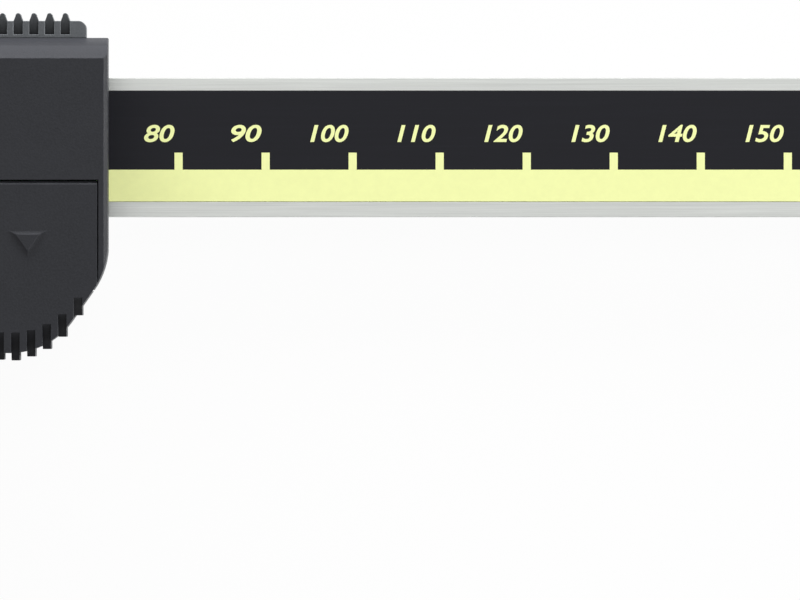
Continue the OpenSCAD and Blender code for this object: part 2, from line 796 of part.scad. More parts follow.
// Edge forms of the housing: two facets along its top, a bevel at each end
module housing_edges() {
    intersection() {
        along_x(housing_start - fuse, slider_len + fuse) polygon([
            [-reach, 0], [-reach, z_front], [housing_top - rear_facet_w - front_facet_w, z_front],
            [housing_top - rear_facet_w, z_front - front_facet_d],
            [housing_top, z_front - front_facet_d - rear_facet_d], [housing_top, 0]
        ]);
        along_y(-reach, reach) polygon([
            [housing_start, 0], [slider_len, 0], [slider_len, z_front - side_bevel],
            [slider_len - side_bevel, z_front], [housing_start + side_bevel, z_front],
            [housing_start, z_front - side_bevel]
        ]);
    }
}

module board_2d(grow) {
    translate([board_start - grow, board_low - grow])
        square([board_w + 2 * grow, board_top - board_low + 2 * grow]);
    translate([board_start, board_step - grow])
        square([board_end - board_start + grow, board_top - board_step + 2 * grow]);
}

// Space inside the housing, above the circuit board's face
module housing_space_2d() {
    left = housing_start + housing_wall;
    right = slider_len - housing_wall;
    inner_low = -housing_low + housing_wall;
    translate([left, partition_y + partition_t])
        square([right - left, port_ledge - partition_y - partition_t]);
    translate([left, inner_low]) square([partition_x - left, port_ledge - inner_low]);
    intersection() {
        union() {
            bulge_2d(cover_wall);
            translate([partition_x, shoulder_c.y]) square([right - partition_x, partition_y - shoulder_c.y]);
            translate([partition_x, inner_low]) square([bulge_c.x - partition_x, partition_y - inner_low]);
        }
        translate([partition_x + partition_t, -reach]) square([reach, reach + partition_y]);
    }
}

// Room that the battery cover takes out of the housing
module cover_space() {
    slab(z_plate - cover_gap, z_front + fuse) translate([cover_start - cover_gap, -reach])
        square([cover_w + 2 * cover_gap, reach - cover_top + cover_gap]);
    slab(z_bulge - fuse, z_front + fuse) difference() {
        translate([0, -reach]) square([reach + slider_len, reach + seam_y + cover_gap]);
        bulge_2d(cover_wall + cover_gap);
    }
    slab(z_flange - cover_gap, z_inner) translate([cover_start - flange_w - cover_gap, -reach])
        square([cover_w + 2 * flange_w + 2 * cover_gap, reach - cover_top + cover_gap]);
}

// Guide rail section, drawn in Y and Z
module guide_2d(gap) {
    translate([housing_top - fuse, port_z - rail_neck_w / 2 - gap])
        square([rail_h + fuse + gap, rail_neck_w + 2 * gap]);
    translate([guide_top - rail_head_h - gap, port_z - rail_head_w / 2 - gap])
        square([rail_head_h + 2 * gap, rail_head_w + 2 * gap]);
}

module button_holes() {
    slab(z_inner - fuse, z_front + fuse) {
        for (x = [zero_x, power_x]) button_2d(x, button_gap);
        translate([origin_x, -button_drop]) circle(d = origin_d + 2 * button_gap);
    }
}

module button_2d(x, grow) {
    rounded([x - button_w / 2 - grow, -button_drop - button_h / 2 - grow],
            [x + button_w / 2 + grow, -button_drop + button_h / 2 + grow], button_r + grow);
}

module view_2d(grow) {
    rounded([view_start - grow, -view_low - grow],
            [view_start + view_w + grow, view_top + grow], view_r + grow);
}

module front_housing() {
    color("#36373a") place() difference() {
        union() {
            difference() {
                union() {
                    intersection() {
                        slab(z_frame, z_front) housing_2d();
                        housing_edges();
                    }
                    slab(z_bulge, z_frame + fuse) intersection() {
                        bulge_2d(0);
                        translate([0, -reach]) square([reach + slider_len, reach - bottom_out - bulge_gap]);
                    }
                }
                slab(z_board, z_inner) housing_space_2d();
                slab(z_frame - fuse, z_board + fuse) board_2d(board_gap);
                cover_space();
            }
            for (p = housing_screw_xy) intersection() {
                translate([p.x, p.y, z_frame]) cylinder(h = z_inner - z_frame + fuse, d = boss_d);
                translate([0, 0, -fuse / 2]) housing_edges();
            }
            slab(z_board - fuse, z_plate - cover_gap - battery_gap) intersection() {
                translate(battery_c) difference() {
                    circle(well_r + well_wall);
                    circle(well_r);
                }
                bulge_2d(cover_wall + cover_gap);
            }
            along_x(guide_start, guide_end) guide_2d(0);
        }
        for (p = housing_screw_xy) translate([p.x, p.y, z_frame - fuse])
            cylinder(h = housing_screw_grip + fuse + screw_gap, d = housing_screw_d + 2 * screw_gap);
        slab(z_inner - fuse, z_front + fuse) view_2d(0);
        slab(z_front - window_sink - window_t, z_front + fuse) view_2d(ledge_w + fit_gap);
        button_holes();
        span([port_x - port_len / 2 - fit_gap, port_ledge - fuse, port_z - port_w / 2 - fit_gap],
             [port_x + port_len / 2 + fit_gap, guide_top + fuse, port_z + port_w / 2 + fit_gap]);
        spring_path(fit_gap);
        span([battery_c.x - clip_w / 2 - fit_gap, battery_c.y, z_board],
             [battery_c.x + clip_w / 2 + fit_gap, battery_c.y + well_r + well_wall + fuse, z_plate]);
    }
}

module housing_screws() {
    color("silver") place() for (p = housing_screw_xy) translate([p.x, p.y, back_plate_t]) difference() {
        union() {
            cylinder(h = housing_screw_head_h, d = housing_screw_head);
            cylinder(h = z_frame - back_plate_t + housing_screw_grip, d = housing_screw_d);
        }
        cross_slot(housing_screw_head);
    }
}

module display_window() {
    color("lightsteelblue", 0.4) place()
        slab(z_front - window_sink - window_t, z_front - window_sink) view_2d(ledge_w);
}

module display_panel() {
    color("darkseagreen") place() slab(z_panel, z_inner)
        translate([view_start - panel_lap, -view_low - panel_lap])
            square([view_w + 2 * panel_lap, view_h + 2 * panel_lap]);
}

module display_connectors() {
    low = -view_low - panel_lap;
    high = view_top + panel_lap;
    color("lightpink") place() for (y = [low, high - connector_w])
        span([view_start, y, z_board], [view_start + view_w, y + connector_w, z_panel]);
}

module circuit_board() {
    color("darkgreen") place() slab(z_frame, z_board) difference() {
        board_2d(0);
        for (p = housing_screw_xy) translate(p) circle(d = boss_d + 2 * board_gap);
    }
}

module sensor_2d(grow) {
    translate([sensor_start - grow, film_shift - sensor_w / 2 - grow])
        square([sensor_len + 2 * grow, sensor_w + 2 * grow]);
}

module sensor_board() {
    color("seagreen") place() slab(z_beam_front + sensor_gap, z_frame) sensor_2d(0);
}

module controller_chip() {
    chip_y = (view_top - view_low) / 2;
    color("black") place() slab(z_board, z_board + chip_h)
        translate([chip_x - chip_w / 2, chip_y - chip_w / 2]) square(chip_w);
}

module switch_domes() {
    color("silver") place() for (x = [zero_x, origin_x, power_x]) translate([x, -button_drop, z_board])
        cylinder(h = dome_h, d1 = dome_d, d2 = stem_d);
}

module battery() {
    color("silver") place() translate([battery_c.x, battery_c.y, z_board + contact_t])
        cylinder(h = battery_h, d = battery_d);
}

// Spring contact: a strip under the cell that runs out of the well onto the circuit board
module spring_path(gap) {
    x = battery_c.x - spring_offset;
    span([x - spring_w / 2 - gap, battery_c.y - spring_offset - gap, z_board],
         [x + spring_w / 2 + gap, board_step + contact_foot + gap, z_board + contact_t + gap]);
}

module battery_spring() {
    color("gold") place() spring_path(0);
}

// Clip contact: a strip beside the cell with a foot on the circuit board
module battery_clip() {
    x0 = battery_c.x - clip_w / 2;
    x1 = battery_c.x + clip_w / 2;
    y = battery_c.y + battery_d / 2 + screw_gap;
    color("gold") place() {
        span([x0, y, z_board], [x1, y + contact_t, z_board + battery_h]);
        span([x0, y, z_board], [x1, board_step + contact_foot, z_board + contact_t]);
    }
}

module data_port_socket() {
    color("#202022") place() {
        span([port_x - port_len / 2, port_ledge - fuse, port_z - port_w / 2],
             [port_x + port_len / 2, guide_top - port_sink, port_z + port_w / 2]);
        span([port_x - port_len / 2, port_ledge - port_w, z_board],
             [port_x + port_len / 2, port_ledge - fit_gap, port_z + port_w / 2]);
    }
}

module data_port_contacts() {
    color("gold") place() for (i = [0 : port_pins - 1]) {
        x = port_x + (i - (port_pins - 1) / 2) * pin_pitch;
        span([x - pin_w / 2, guide_top - port_sink, port_z - port_w / 3],
             [x + pin_w / 2, guide_top - port_sink + pin_t, port_z + port_w / 3]);
    }
}

// Flange, stem and seat heights shared by the three buttons
z_flange_top = z_inner - button_seat_gap;
z_stem = z_board + dome_h + button_travel + stem_gap;

module stem(x) {
    translate([x, -button_drop, z_stem]) cylinder(h = z_flange_top - z_stem, d = stem_d);
}

module bar_button(x) {
    slab(z_flange_top - button_flange_t, z_front + button_proud) button_2d(x, 0);
    slab(z_flange_top - button_flange_t, z_flange_top) button_2d(x, button_flange_w);
    stem(x);
}

module zero_button() {
    color("gainsboro") place() bar_button(zero_x);
}

module power_button() {
    color("gainsboro") place() bar_button(power_x);
}

module origin_button() {
    color("gainsboro") place() {
        translate([origin_x, -button_drop, z_flange_top - button_flange_t]) {
            cylinder(h = button_flange_t, d = origin_d + 2 * button_flange_w);
            cylinder(h = z_front + button_proud - z_flange_top + button_flange_t, d = origin_d);
        }
        stem(origin_x);
    }
}

// Heights along the lock screw's axis
pad_low = half_h + gib_gap + gib_t + pad_gap;
screw_tip = pad_low + pad_t + pad_seat_gap;
knob_low = housing_top + knob_gap;

module lock_pad() {
    color("goldenrod") place() translate([lock_x, pad_low, z_lock]) rotate([-90, 0, 0])
        cylinder(h = pad_t, d = lock_d);
}

module lock_screw() {
    color("silver") place() translate([lock_x, screw_tip, z_lock]) rotate([-90, 0, 0]) {
        cylinder(h = knob_low - screw_tip + fuse, d = lock_d);
        translate([0, 0, knob_low - screw_tip]) difference() {
            rotate_extrude() polygon([
                [0, 0], [knob_d / 2 - knob_chamfer, 0], [knob_d / 2, knob_chamfer],
                [knob_d / 2, knob_h - knob_chamfer], [knob_d / 2 - knob_chamfer, knob_h], [0, knob_h]
            ]);
            for (i = [0 : knob_flutes - 1]) rotate(i * 360 / knob_flutes)
                translate([knob_d / 2, 0, -fuse]) cylinder(h = knob_h + 2 * fuse, d = flute_d);
        }
    }
}

// Lower end of a rib at station x
function rib_tip(x) = bulge_c.y - sqrt((bulge_r + rib_h) ^ 2 - (x - bulge_c.x) ^ 2);
function rib_end(x) =
    let (out = abs(x - bulge_c.x) + rib_w / 2 + rib_step)
    bulge_c.y - sqrt(max(0.01, (bulge_r + rib_h) ^ 2 - out ^ 2));
rib_xs = [for (i = [0 : rib_count - 1]) slider_len - rib_inset - i * rib_pitch];

// Ribs of the thumb rest, seen from the front
module ribs_2d() {
    difference() {
        for (x = rib_xs) translate([x - rib_w / 2, rib_end(x)]) square([rib_w, seam_y - rib_end(x)]);
        bulge_2d(cover_wall / 2);
    }
}

// Sloping scoop that leads a rib out of the cover's face
module scoop(x) {
    high = rib_tip(x) + scoop_len;
    low = rib_end(x);
    slope = scoop_d / (high - low);
    along_x(x - rib_w / 2, x + rib_w / 2) polygon([
        [high + fuse, z_front + slope * fuse], [low - fuse, z_front - scoop_d - slope * fuse],
        [low - fuse, z_front + 2 * fuse], [high + fuse, z_front + 2 * fuse]
    ]);
}

module cover_2d() {
    intersection() {
        housing_2d();
        translate([cover_start, -reach]) square([cover_w, reach - cover_top]);
    }
}

module battery_cover() {
    mark_x = slider_len - mark_inset;
    mark_y = -cover_top - mark_drop;
    flange_low = -cover_top - flange_len;
    color("#333437") place() difference() {
        union() {
            slab(z_plate, z_front) cover_2d();
            slab(z_bulge, z_plate + fuse) difference() {
                intersection() {
                    bulge_2d(0);
                    translate([cover_start, -reach]) square([reach, reach + seam_y]);
                }
                bulge_2d(cover_wall);
            }
            slab(z_bulge, z_front) ribs_2d();
            slab(z_front - fuse, z_front + mark_d) polygon([
                [mark_x - mark_w / 2, mark_y], [mark_x, mark_y - mark_h], [mark_x + mark_w / 2, mark_y]
            ]);
            for (x = [cover_start - flange_w, cover_end - flange_w])
                span([x, flange_low, z_flange], [x + 2 * flange_w, -cover_top, z_flange + flange_t]);
        }
        for (x = rib_xs) scoop(x);
    }
}

grip_xs = [for (i = [0 : grip_count - 1]) port_cover_end_x - grip_inset - i * grip_pitch];

module data_port_cover() {
    low = housing_top + port_cover_gap;
    front = port_cover_front;
    color("#5c5f62") place() difference() {
        slab(front - port_cover_d, front) {
            translate([port_cover_start, low])
                square([port_cover_len - port_cover_r, port_cover_top - low]);
            translate([port_cover_start, low])
                square([port_cover_len, port_cover_top - low - port_cover_r]);
            translate([port_cover_end_x - port_cover_r, port_cover_top - port_cover_r]) circle(port_cover_r);
            for (x = grip_xs) translate([x, port_cover_top]) {
                translate([0, grip_h - grip_tip / 2]) circle(d = grip_tip);
                polygon([
                    [-grip_w / 2, -fuse], [grip_w / 2, -fuse], [grip_w / 2, 0],
                    [grip_tip / 2, grip_h - grip_tip / 2], [-grip_tip / 2, grip_h - grip_tip / 2],
                    [-grip_w / 2, 0]
                ]);
            }
        }
        along_x(port_cover_start - fuse, guide_end + fit_gap) guide_2d(fit_gap);
        for (x = grip_xs) span([x - grip_w / 2, housing_top + grip_notch_lift, front - grip_notch_d],
                               [x + grip_w / 2, port_cover_top + grip_h + fuse, front + fuse]);
    }
}

main_beam();
scale_board();
scale_film();
end_stop_plate();
end_stop_screws();
slider_frame();
back_plate();
back_plate_screws();
gib_strip();
gib_screws();
depth_rod();
depth_rod_rivets();
front_housing();
housing_screws();
display_window();
display_panel();
display_connectors();
circuit_board();
sensor_board();
controller_chip();
switch_domes();
battery();
battery_spring();
battery_clip();
data_port_socket();
data_port_contacts();
zero_button();
origin_button();
power_button();
lock_pad();
lock_screw();
battery_cover();
data_port_cover();
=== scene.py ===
import json
import math

import bmesh
import bpy
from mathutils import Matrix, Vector


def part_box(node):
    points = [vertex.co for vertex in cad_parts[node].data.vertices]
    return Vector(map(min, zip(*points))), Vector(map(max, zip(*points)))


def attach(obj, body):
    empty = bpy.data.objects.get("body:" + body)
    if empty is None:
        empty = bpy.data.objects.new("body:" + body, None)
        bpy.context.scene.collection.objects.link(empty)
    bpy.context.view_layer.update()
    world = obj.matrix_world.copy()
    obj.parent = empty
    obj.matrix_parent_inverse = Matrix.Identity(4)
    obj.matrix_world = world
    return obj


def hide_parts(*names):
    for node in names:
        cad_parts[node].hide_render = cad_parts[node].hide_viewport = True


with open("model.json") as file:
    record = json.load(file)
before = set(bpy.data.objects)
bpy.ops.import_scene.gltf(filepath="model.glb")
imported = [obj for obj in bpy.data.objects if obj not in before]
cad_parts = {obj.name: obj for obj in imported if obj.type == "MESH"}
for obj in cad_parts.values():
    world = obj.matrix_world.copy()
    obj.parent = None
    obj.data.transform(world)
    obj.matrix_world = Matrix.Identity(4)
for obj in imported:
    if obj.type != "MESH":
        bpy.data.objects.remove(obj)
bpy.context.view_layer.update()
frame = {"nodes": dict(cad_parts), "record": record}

# Main beam: one hardened stainless bar with the fixed outside and inside jaws in one piece with it.
# Surface ground along its length, the jaws ground along theirs, and every edge broken with a stone.
mm = 0.001
nodes = frame["nodes"]
scene = bpy.context.scene
measuring_faces = next(m for m in frame["record"]["mounts"] if m["name"] == "outside_faces")
zero_x = Vector(measuring_faces["pos_m"]).x
rod_low, rod_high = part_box("depth_rod")
mid_y = (rod_low.y + rod_high.y) / 2


def feed(tree, socket, value):
    """A socket gets a link from another node or a plain value."""
    if isinstance(value, bpy.types.NodeSocket):
        tree.links.new(value, socket)
    else:
        socket.default_value = value


def add(tree, kind, *inputs, settings=(), **named):
    """A node of a tree, its inputs set or linked in order and then by name."""
    made = tree.nodes.new(kind)
    for key, value in dict(settings).items():
        setattr(made, key, value)
    for socket, value in zip(made.inputs, inputs):
        feed(tree, socket, value)
    for key, value in named.items():
        feed(tree, made.inputs[key.replace("_", " ")], value)
    return made


def calc(tree, operation, *values):
    """One sum on numbers that change over a surface."""
    return add(tree, "ShaderNodeMath", *values, settings={"operation": operation}).outputs[0]


def spread(tree, value, low, high, to_low, to_high):
    """A value between two limits, moved to lie between two others."""
    return add(tree, "ShaderNodeMapRange", value, low, high, to_low, to_high).outputs[0]


def noise(tree, place, scale, detail, **more):
    """Cloudy values from 0 to 1, with so many waves to the metre."""
    return add(tree, "ShaderNodeTexNoise", Vector=place, Scale=scale, Detail=detail, **more).outputs[0]


def attribute(tree, name):
    """A share that is kept on the mesh itself."""
    return add(tree, "ShaderNodeAttribute", settings={"attribute_name": name}).outputs["Fac"]


def tint(tree, share, under, over):
    """One colour laid over another by a share from 0 to 1."""
    made = add(tree, "ShaderNodeMix", settings={"data_type": "RGBA"})
    for spot, value in ((0, share), (6, under), (7, over)):
        feed(tree, made.inputs[spot], value)
    return made.outputs[2]


def rgb(colour, times=1.0):
    """A colour with its strength changed, as a shader socket takes it."""
    return tuple(min(1.0, c * times) for c in colour[:3]) + (1.0,)


def effect(name, inputs, outputs):
    """An empty shader group with its sockets, for a finish that several materials share."""
    group = bpy.data.node_groups.new(name, "ShaderNodeTree")
    group.interface.new_socket("Vector", in_out="INPUT", socket_type="NodeSocketVector")
    for label, value in inputs:
        socket = group.interface.new_socket(label, in_out="INPUT", socket_type="NodeSocketFloat")
        socket.default_value = value
    for label in outputs:
        group.interface.new_socket(label, in_out="OUTPUT", socket_type="NodeSocketFloat")
    return group, group.nodes.new("NodeGroupInput").outputs, group.nodes.new("NodeGroupOutput").inputs


def use(tree, group, place, **values):
    """What a shared finish gives in a material, with that material's own values."""
    return add(tree, "ShaderNodeGroup", settings={"node_tree": group}, Vector=place, **values).outputs


band_share = 0.16
grinding_lines, into, out = effect("grinding_lines", [("Fineness", 9000.0)], ["Lines", "Bands"])
hair = noise(grinding_lines, into["Vector"], into["Fineness"], 2.0)
band_scale = calc(grinding_lines, "MULTIPLY", into["Fineness"], band_share)
band = noise(grinding_lines, into["Vector"], band_scale, 3.0)
grinding_lines.links.new(hair, out["Lines"])
grinding_lines.links.new(band, out["Bands"])

patch_scale = 650.0
edge_wear, into, out = effect("edge_wear", [("Amount", 0.6)], ["Worn"])
patch = noise(edge_wear, into["Vector"], patch_scale, 4.0)
patchy = spread(edge_wear, patch, 0.40, 0.62, 0.25, 1.0)
rubbed = calc(edge_wear, "MULTIPLY", attribute(edge_wear, "edge"), patchy)
edge_wear.links.new(calc(edge_wear, "MULTIPLY", rubbed, into["Amount"]), out["Worn"])

scratch_turn = (0.0, 0.0, 0.62)
scratch_stretch = (40.0, 1700.0, 1700.0)
handling, into, out = effect("handling", [("Reach", 70.0)], ["Smudge", "Scratch"])
blot = noise(handling, into["Vector"], into["Reach"], 5.0, Roughness=0.62)
handling.links.new(spread(handling, blot, 0.40, 0.68, 0.0, 1.0), out["Smudge"])
drawn = add(handling, "ShaderNodeMapping", into["Vector"], Rotation=scratch_turn, Scale=scratch_stretch)
hairline = noise(handling, drawn.outputs[0], 1.0, 2.0)
handling.links.new(spread(handling, hairline, 0.70, 0.76, 0.0, 1.0), out["Scratch"])


def fresh_material(name, metallic, specular=0.5):
    """A material's tree, its shader and the place on the piece, ready for a finish."""
    material = bpy.data.materials.new(name)
    material.use_nodes = True
    tree = material.node_tree
    shader = tree.nodes["Principled BSDF"]
    shader.inputs["Metallic"].default_value = metallic
    shader.inputs["Specular IOR Level"].default_value = specular
    return material, tree, shader, add(tree, "ShaderNodeTexCoord").outputs["Object"]


def coat(tree, shader, colour, rough):
    """A shader takes the colour and the roughness that were made for it."""
    tree.links.new(colour, shader.inputs["Base Color"])
    tree.links.new(rough, shader.inputs["Roughness"])


def relief(tree, shader, height, strength, depth):
    """Fine relief that the light catches, too small for the mesh."""
    bump = add(tree, "ShaderNodeBump", Strength=strength, Distance=depth, Height=height)
    tree.links.new(bump.outputs[0], shader.inputs["Normal"])


steel_metallic = 0.92
steel_wear = 0.6
line_depth = 0.02 * mm


def ground_steel(name, colour, roughness, fineness=9000.0, along=(0.010, 1.0, 1.0), bar=None):
    """Ground steel whose lines run along X, or along Y on jaws outside the bar's two edges."""
    material, tree, shader, place = fresh_material(name, steel_metallic)
    way = add(tree, "ShaderNodeMapping", place, Scale=along).outputs[0]
    if bar:
        across = add(tree, "ShaderNodeMapping", place, Scale=(along[1], along[0], along[2])).outputs[0]
        height = add(tree, "ShaderNodeSeparateXYZ", place).outputs["Y"]
        away = calc(tree, "ABSOLUTE", calc(tree, "SUBTRACT", height, (bar[0] + bar[1]) / 2))
        away = calc(tree, "SUBTRACT", away, attribute(tree, "narrow_side"))
        turned = calc(tree, "GREATER_THAN", away, (bar[1] - bar[0]) / 2)
        both = add(tree, "ShaderNodeMix", settings={"data_type": "VECTOR"})
        for spot, value in ((0, turned), (4, way), (5, across)):
            feed(tree, both.inputs[spot], value)
        way = both.outputs[1]
    lines = use(tree, grinding_lines, way, Fineness=fineness)
    marks = use(tree, handling, place)
    worn = use(tree, edge_wear, place, Amount=steel_wear)[0]
    shade = calc(tree, "MULTIPLY", lines["Lines"], 0.55)
    shade = calc(tree, "MULTIPLY_ADD", lines["Bands"], 0.45, shade)
    share = spread(tree, shade, 0.34, 0.66, 0.0, 1.0)
    body = tint(tree, share, rgb(colour, 0.88), rgb(colour, 1.06))
    body = tint(tree, calc(tree, "MULTIPLY", marks["Smudge"], 0.10), body, rgb(colour, 0.72))
    body = tint(tree, calc(tree, "MULTIPLY", marks["Scratch"], 0.22), body, rgb(colour, 1.2))
    body = tint(tree, worn, body, rgb(colour, 1.22))
    rough = calc(tree, "MULTIPLY_ADD", share, 0.10, roughness)
    rough = calc(tree, "MULTIPLY_ADD", marks["Smudge"], 0.07, rough)
    coat(tree, shader, body, calc(tree, "MULTIPLY_ADD", worn, -0.14, rough))
    relief(tree, shader, shade, 0.16, line_depth)
    return material


merge_reach = 1e-7
flat_angle = math.radians(0.3)
sharp_angle = math.radians(28)
sliver = 5e-7


def broken_edges(node, width, steps=2, keep=None, chamfer=0.0, chamfered=None, reshape=None, touched=None):
    """A copy of a CAD piece with its sharp outer edges rounded a little and marked for wear.

    keep and chamfered pick edges by their place, reshape moves corners before that, and touched keeps
    shares from 0 to 1 on the mesh, by the face's normal and the corner's place.
    """
    mesh = bmesh.new()
    mesh.from_mesh(nodes[node].data)
    bmesh.ops.remove_doubles(mesh, verts=mesh.verts, dist=merge_reach)
    if reshape:
        for v in mesh.verts:
            v.co = reshape(v.co)
        mesh.normal_update()
    bmesh.ops.dissolve_limit(
        mesh, angle_limit=flat_angle, verts=mesh.verts, edges=mesh.edges, use_dissolve_boundaries=False
    )
    mark = mesh.faces.layers.float.new("edge")
    for label, share in (touched or {}).items():
        layer = mesh.loops.layers.float.new(label)
        for loop in (loop for face in mesh.faces for loop in face.loops):
            loop[layer] = share(loop.face.normal, loop.vert.co)
    if chamfered:
        wide = [e for e in mesh.edges if all(chamfered(v.co) for v in e.verts)]
        bmesh.ops.bevel(
            mesh, geom=wide, offset=chamfer, offset_type="OFFSET", segments=1, profile=0.5, affect="EDGES"
        )
    sharp = [e for e in mesh.edges if e.is_convex and e.calc_face_angle(0.0) > sharp_angle]
    if keep:
        sharp = [e for e in sharp if keep((e.verts[0].co + e.verts[1].co) / 2)]
    rounds = bmesh.ops.bevel(
        mesh, geom=sharp, offset=width, offset_type="OFFSET", segments=steps, profile=0.5, affect="EDGES",
        clamp_overlap=False, loop_slide=True,
    )
    for face in rounds["faces"]:
        face[mark] = 1.0
    bmesh.ops.dissolve_degenerate(mesh, dist=sliver, edges=mesh.edges)
    return mesh


def piece(name, mesh, material, body, stands_for=(), smooth=40):
    """A finished piece of the object: shaded, dressed and fixed to the body that it moves with."""
    data = bpy.data.meshes.new(name)
    mesh.to_mesh(data)
    mesh.free()
    data.shade_smooth()
    data.set_sharp_from_angle(angle=math.radians(smooth))
    data.materials.append(material)
    made = bpy.data.objects.new(name, data)
    scene.collection.objects.link(made)
    even = made.modifiers.new("even_shading", "WEIGHTED_NORMAL")
    even.keep_sharp = True
    even.weight = 60
    bpy.context.view_layer.update()
    shaded = bpy.data.meshes.new_from_object(made.evaluated_get(bpy.context.evaluated_depsgraph_get()))
    made.modifiers.clear()
    made.data = shaded
    shaded.name = name
    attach(made, body)
    if stands_for:
        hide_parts(*stands_for)
    return made


def narrow_side(normal, p):
    """The narrow upper and lower sides, which are ground along X everywhere."""
    return 1.0 if abs(normal.y) > 0.7 else 0.0


bar_half = 8.0 * mm
jaw_margin = 0.05 * mm
bar_edges = (mid_y - bar_half - jaw_margin, mid_y + bar_half + jaw_margin)
steel_colour = (0.742, 0.762, 0.735)
bar_steel = ground_steel("bar_steel", steel_colour, 0.30, bar=bar_edges)
bar_and_jaws = broken_edges("main_beam", 0.10 * mm, touched={"narrow_side": narrow_side})
piece("ground_beam", bar_and_jaws, bar_steel, "beam", ["main_beam"])

# Scale board: the strip of glass-fibre board with the electrodes that the slider reads, glued in the beam.
# Only its cut ends show at the ends of the film.
weave_scale = 700.0
weave_depth = 0.03 * mm


def resin_board(name, colour):
    """Glass-fibre board: a weave under lacquer, a little uneven in colour."""
    material, tree, shader, place = fresh_material(name, 0.0)
    weave = add(tree, "ShaderNodeTexWave", Vector=place, Scale=weave_scale, Distortion=1.5, Detail=2.0)
    threads = weave.outputs["Fac"]
    cloud = noise(tree, place, 260.0, 4.0)
    share = calc(tree, "MULTIPLY_ADD", threads, 0.35, calc(tree, "MULTIPLY", cloud, 0.65))
    body = tint(tree, share, rgb(colour, 0.7), rgb(colour, 1.35))
    coat(tree, shader, body, spread(tree, cloud, 0.3, 0.7, 0.28, 0.46))
    relief(tree, shader, threads, 0.12, weave_depth)
    return material


def dress(node, material):
    """A CAD piece that is right as it is gets its finish."""
    nodes[node].data.materials.clear()
    nodes[node].data.materials.append(material)


dress("scale_board", resin_board("scale_resin", (0.10, 0.28, 0.16)))

# Scale film: a thin black film over the whole scale, glued into the beam flush with its ground strips.
# Satin polyester, a little clouded by the hand and by the slider rubbing along it.
film_black = (0.0056, 0.0058, 0.0085)
film_low, film_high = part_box("scale_film")
satin_film, tree, shader, place = fresh_material("satin_film", 0.0, specular=0.25)
marks = use(tree, handling, place, Reach=45.0)
slide_way = add(tree, "ShaderNodeMapping", place, Scale=(0.02, 1.0, 1.0)).outputs[0]
lightened = use(tree, grinding_lines, slide_way, Fineness=3200.0)["Lines"]
body = tint(tree, spread(tree, lightened, 0.45, 0.75, 0.0, 0.35), rgb(film_black), rgb(film_black, 1.5))
body = tint(tree, calc(tree, "MULTIPLY", marks["Scratch"], 0.12), body, rgb(film_black, 2.4))
coat(tree, shader, body, spread(tree, marks["Smudge"], 0.0, 1.0, 0.46, 0.58))
relief(tree, shader, noise(tree, place, 7000.0, 2.0), 0.10, 0.02 * mm)
piece("black_film", broken_edges("scale_film", 0.05 * mm), satin_film, "beam", ["scale_film"])

# Scale print: a yellow-green band with a mark each 10 mm and numbers from 0 to 150, printed on the film.
# Opaque screen ink, matt, a few hundredths of a millimetre thick, so its rims are just felt.
ink_colour = (0.935, 0.985, 0.45)
ink_depth = 0.02 * mm
ink_sunk = 0.01 * mm
band_top = mid_y - 2.55 * mm
mark_top = mid_y - 0.60 * mm
mark_width = 0.94 * mm
mark_overlap = 0.02 * mm
number_low = mid_y + 0.61 * mm
number_height = 2.0 * mm
number_widths = {1: 1.5 * mm, 2: 3.5 * mm, 3: 4.4 * mm}
number_lean = 0.22
number_bold = 0.02
number_step = 10
number_last = 150
print_low = film_high.z - ink_sunk
print_high = film_high.z + ink_depth

scale_ink, tree, shader, place = fresh_material("scale_ink", 0.0, specular=0.3)
cover = noise(tree, place, 900.0, 5.0, Roughness=0.7)
smudge = use(tree, handling, place, Reach=55.0)["Smudge"]
body = tint(tree, spread(tree, cover, 0.3, 0.7, 0.0, 1.0), rgb(ink_colour, 0.955), rgb(ink_colour, 1.0))
body = tint(tree, calc(tree, "MULTIPLY", smudge, 0.08), body, rgb(ink_colour, 0.86))
coat(tree, shader, body, spread(tree, cover, 0.3, 0.7, 0.50, 0.64))
relief(tree, shader, cover, 0.12, 0.02 * mm)


def node_tree(name, inputs):
    """An empty Geometry Nodes tree with its named sizes."""
    tree = bpy.data.node_groups.new(name, "GeometryNodeTree")
    tree.interface.new_socket("Geometry", in_out="OUTPUT", socket_type="NodeSocketGeometry")
    tree.interface.new_socket("Geometry", in_out="INPUT", socket_type="NodeSocketGeometry")
    for label, kind in inputs:
        tree.interface.new_socket(label, in_out="INPUT", socket_type="NodeSocket" + kind)
    return tree, tree.nodes.new("NodeGroupInput").outputs, tree.nodes.new("NodeGroupOutput").inputs[0]


def grown(tree, sizes, points=((0.0, 0.0, 0.0),)):
    """What a Geometry Nodes tree makes on some points with these sizes, as a plain mesh for more work."""
    seed = bpy.data.meshes.new("points")
    seed.from_pydata(points, [], [])
    holder = bpy.data.objects.new("points", seed)
    scene.collection.objects.link(holder)
    rule = holder.modifiers.new("rule", "NODES")
    rule.node_group = tree
    for item in tree.interface.items_tree:
        if item.in_out == "INPUT" and item.name in sizes:
            rule[item.identifier] = sizes[item.name]
    bpy.context.view_layer.update()
    made = bpy.data.meshes.new_from_object(holder.evaluated_get(bpy.context.evaluated_depsgraph_get()))
    mesh = bmesh.new()
    mesh.from_mesh(made)
    bpy.data.objects.remove(holder)
    bpy.data.meshes.remove(made)
    bpy.data.meshes.remove(seed)
    return mesh


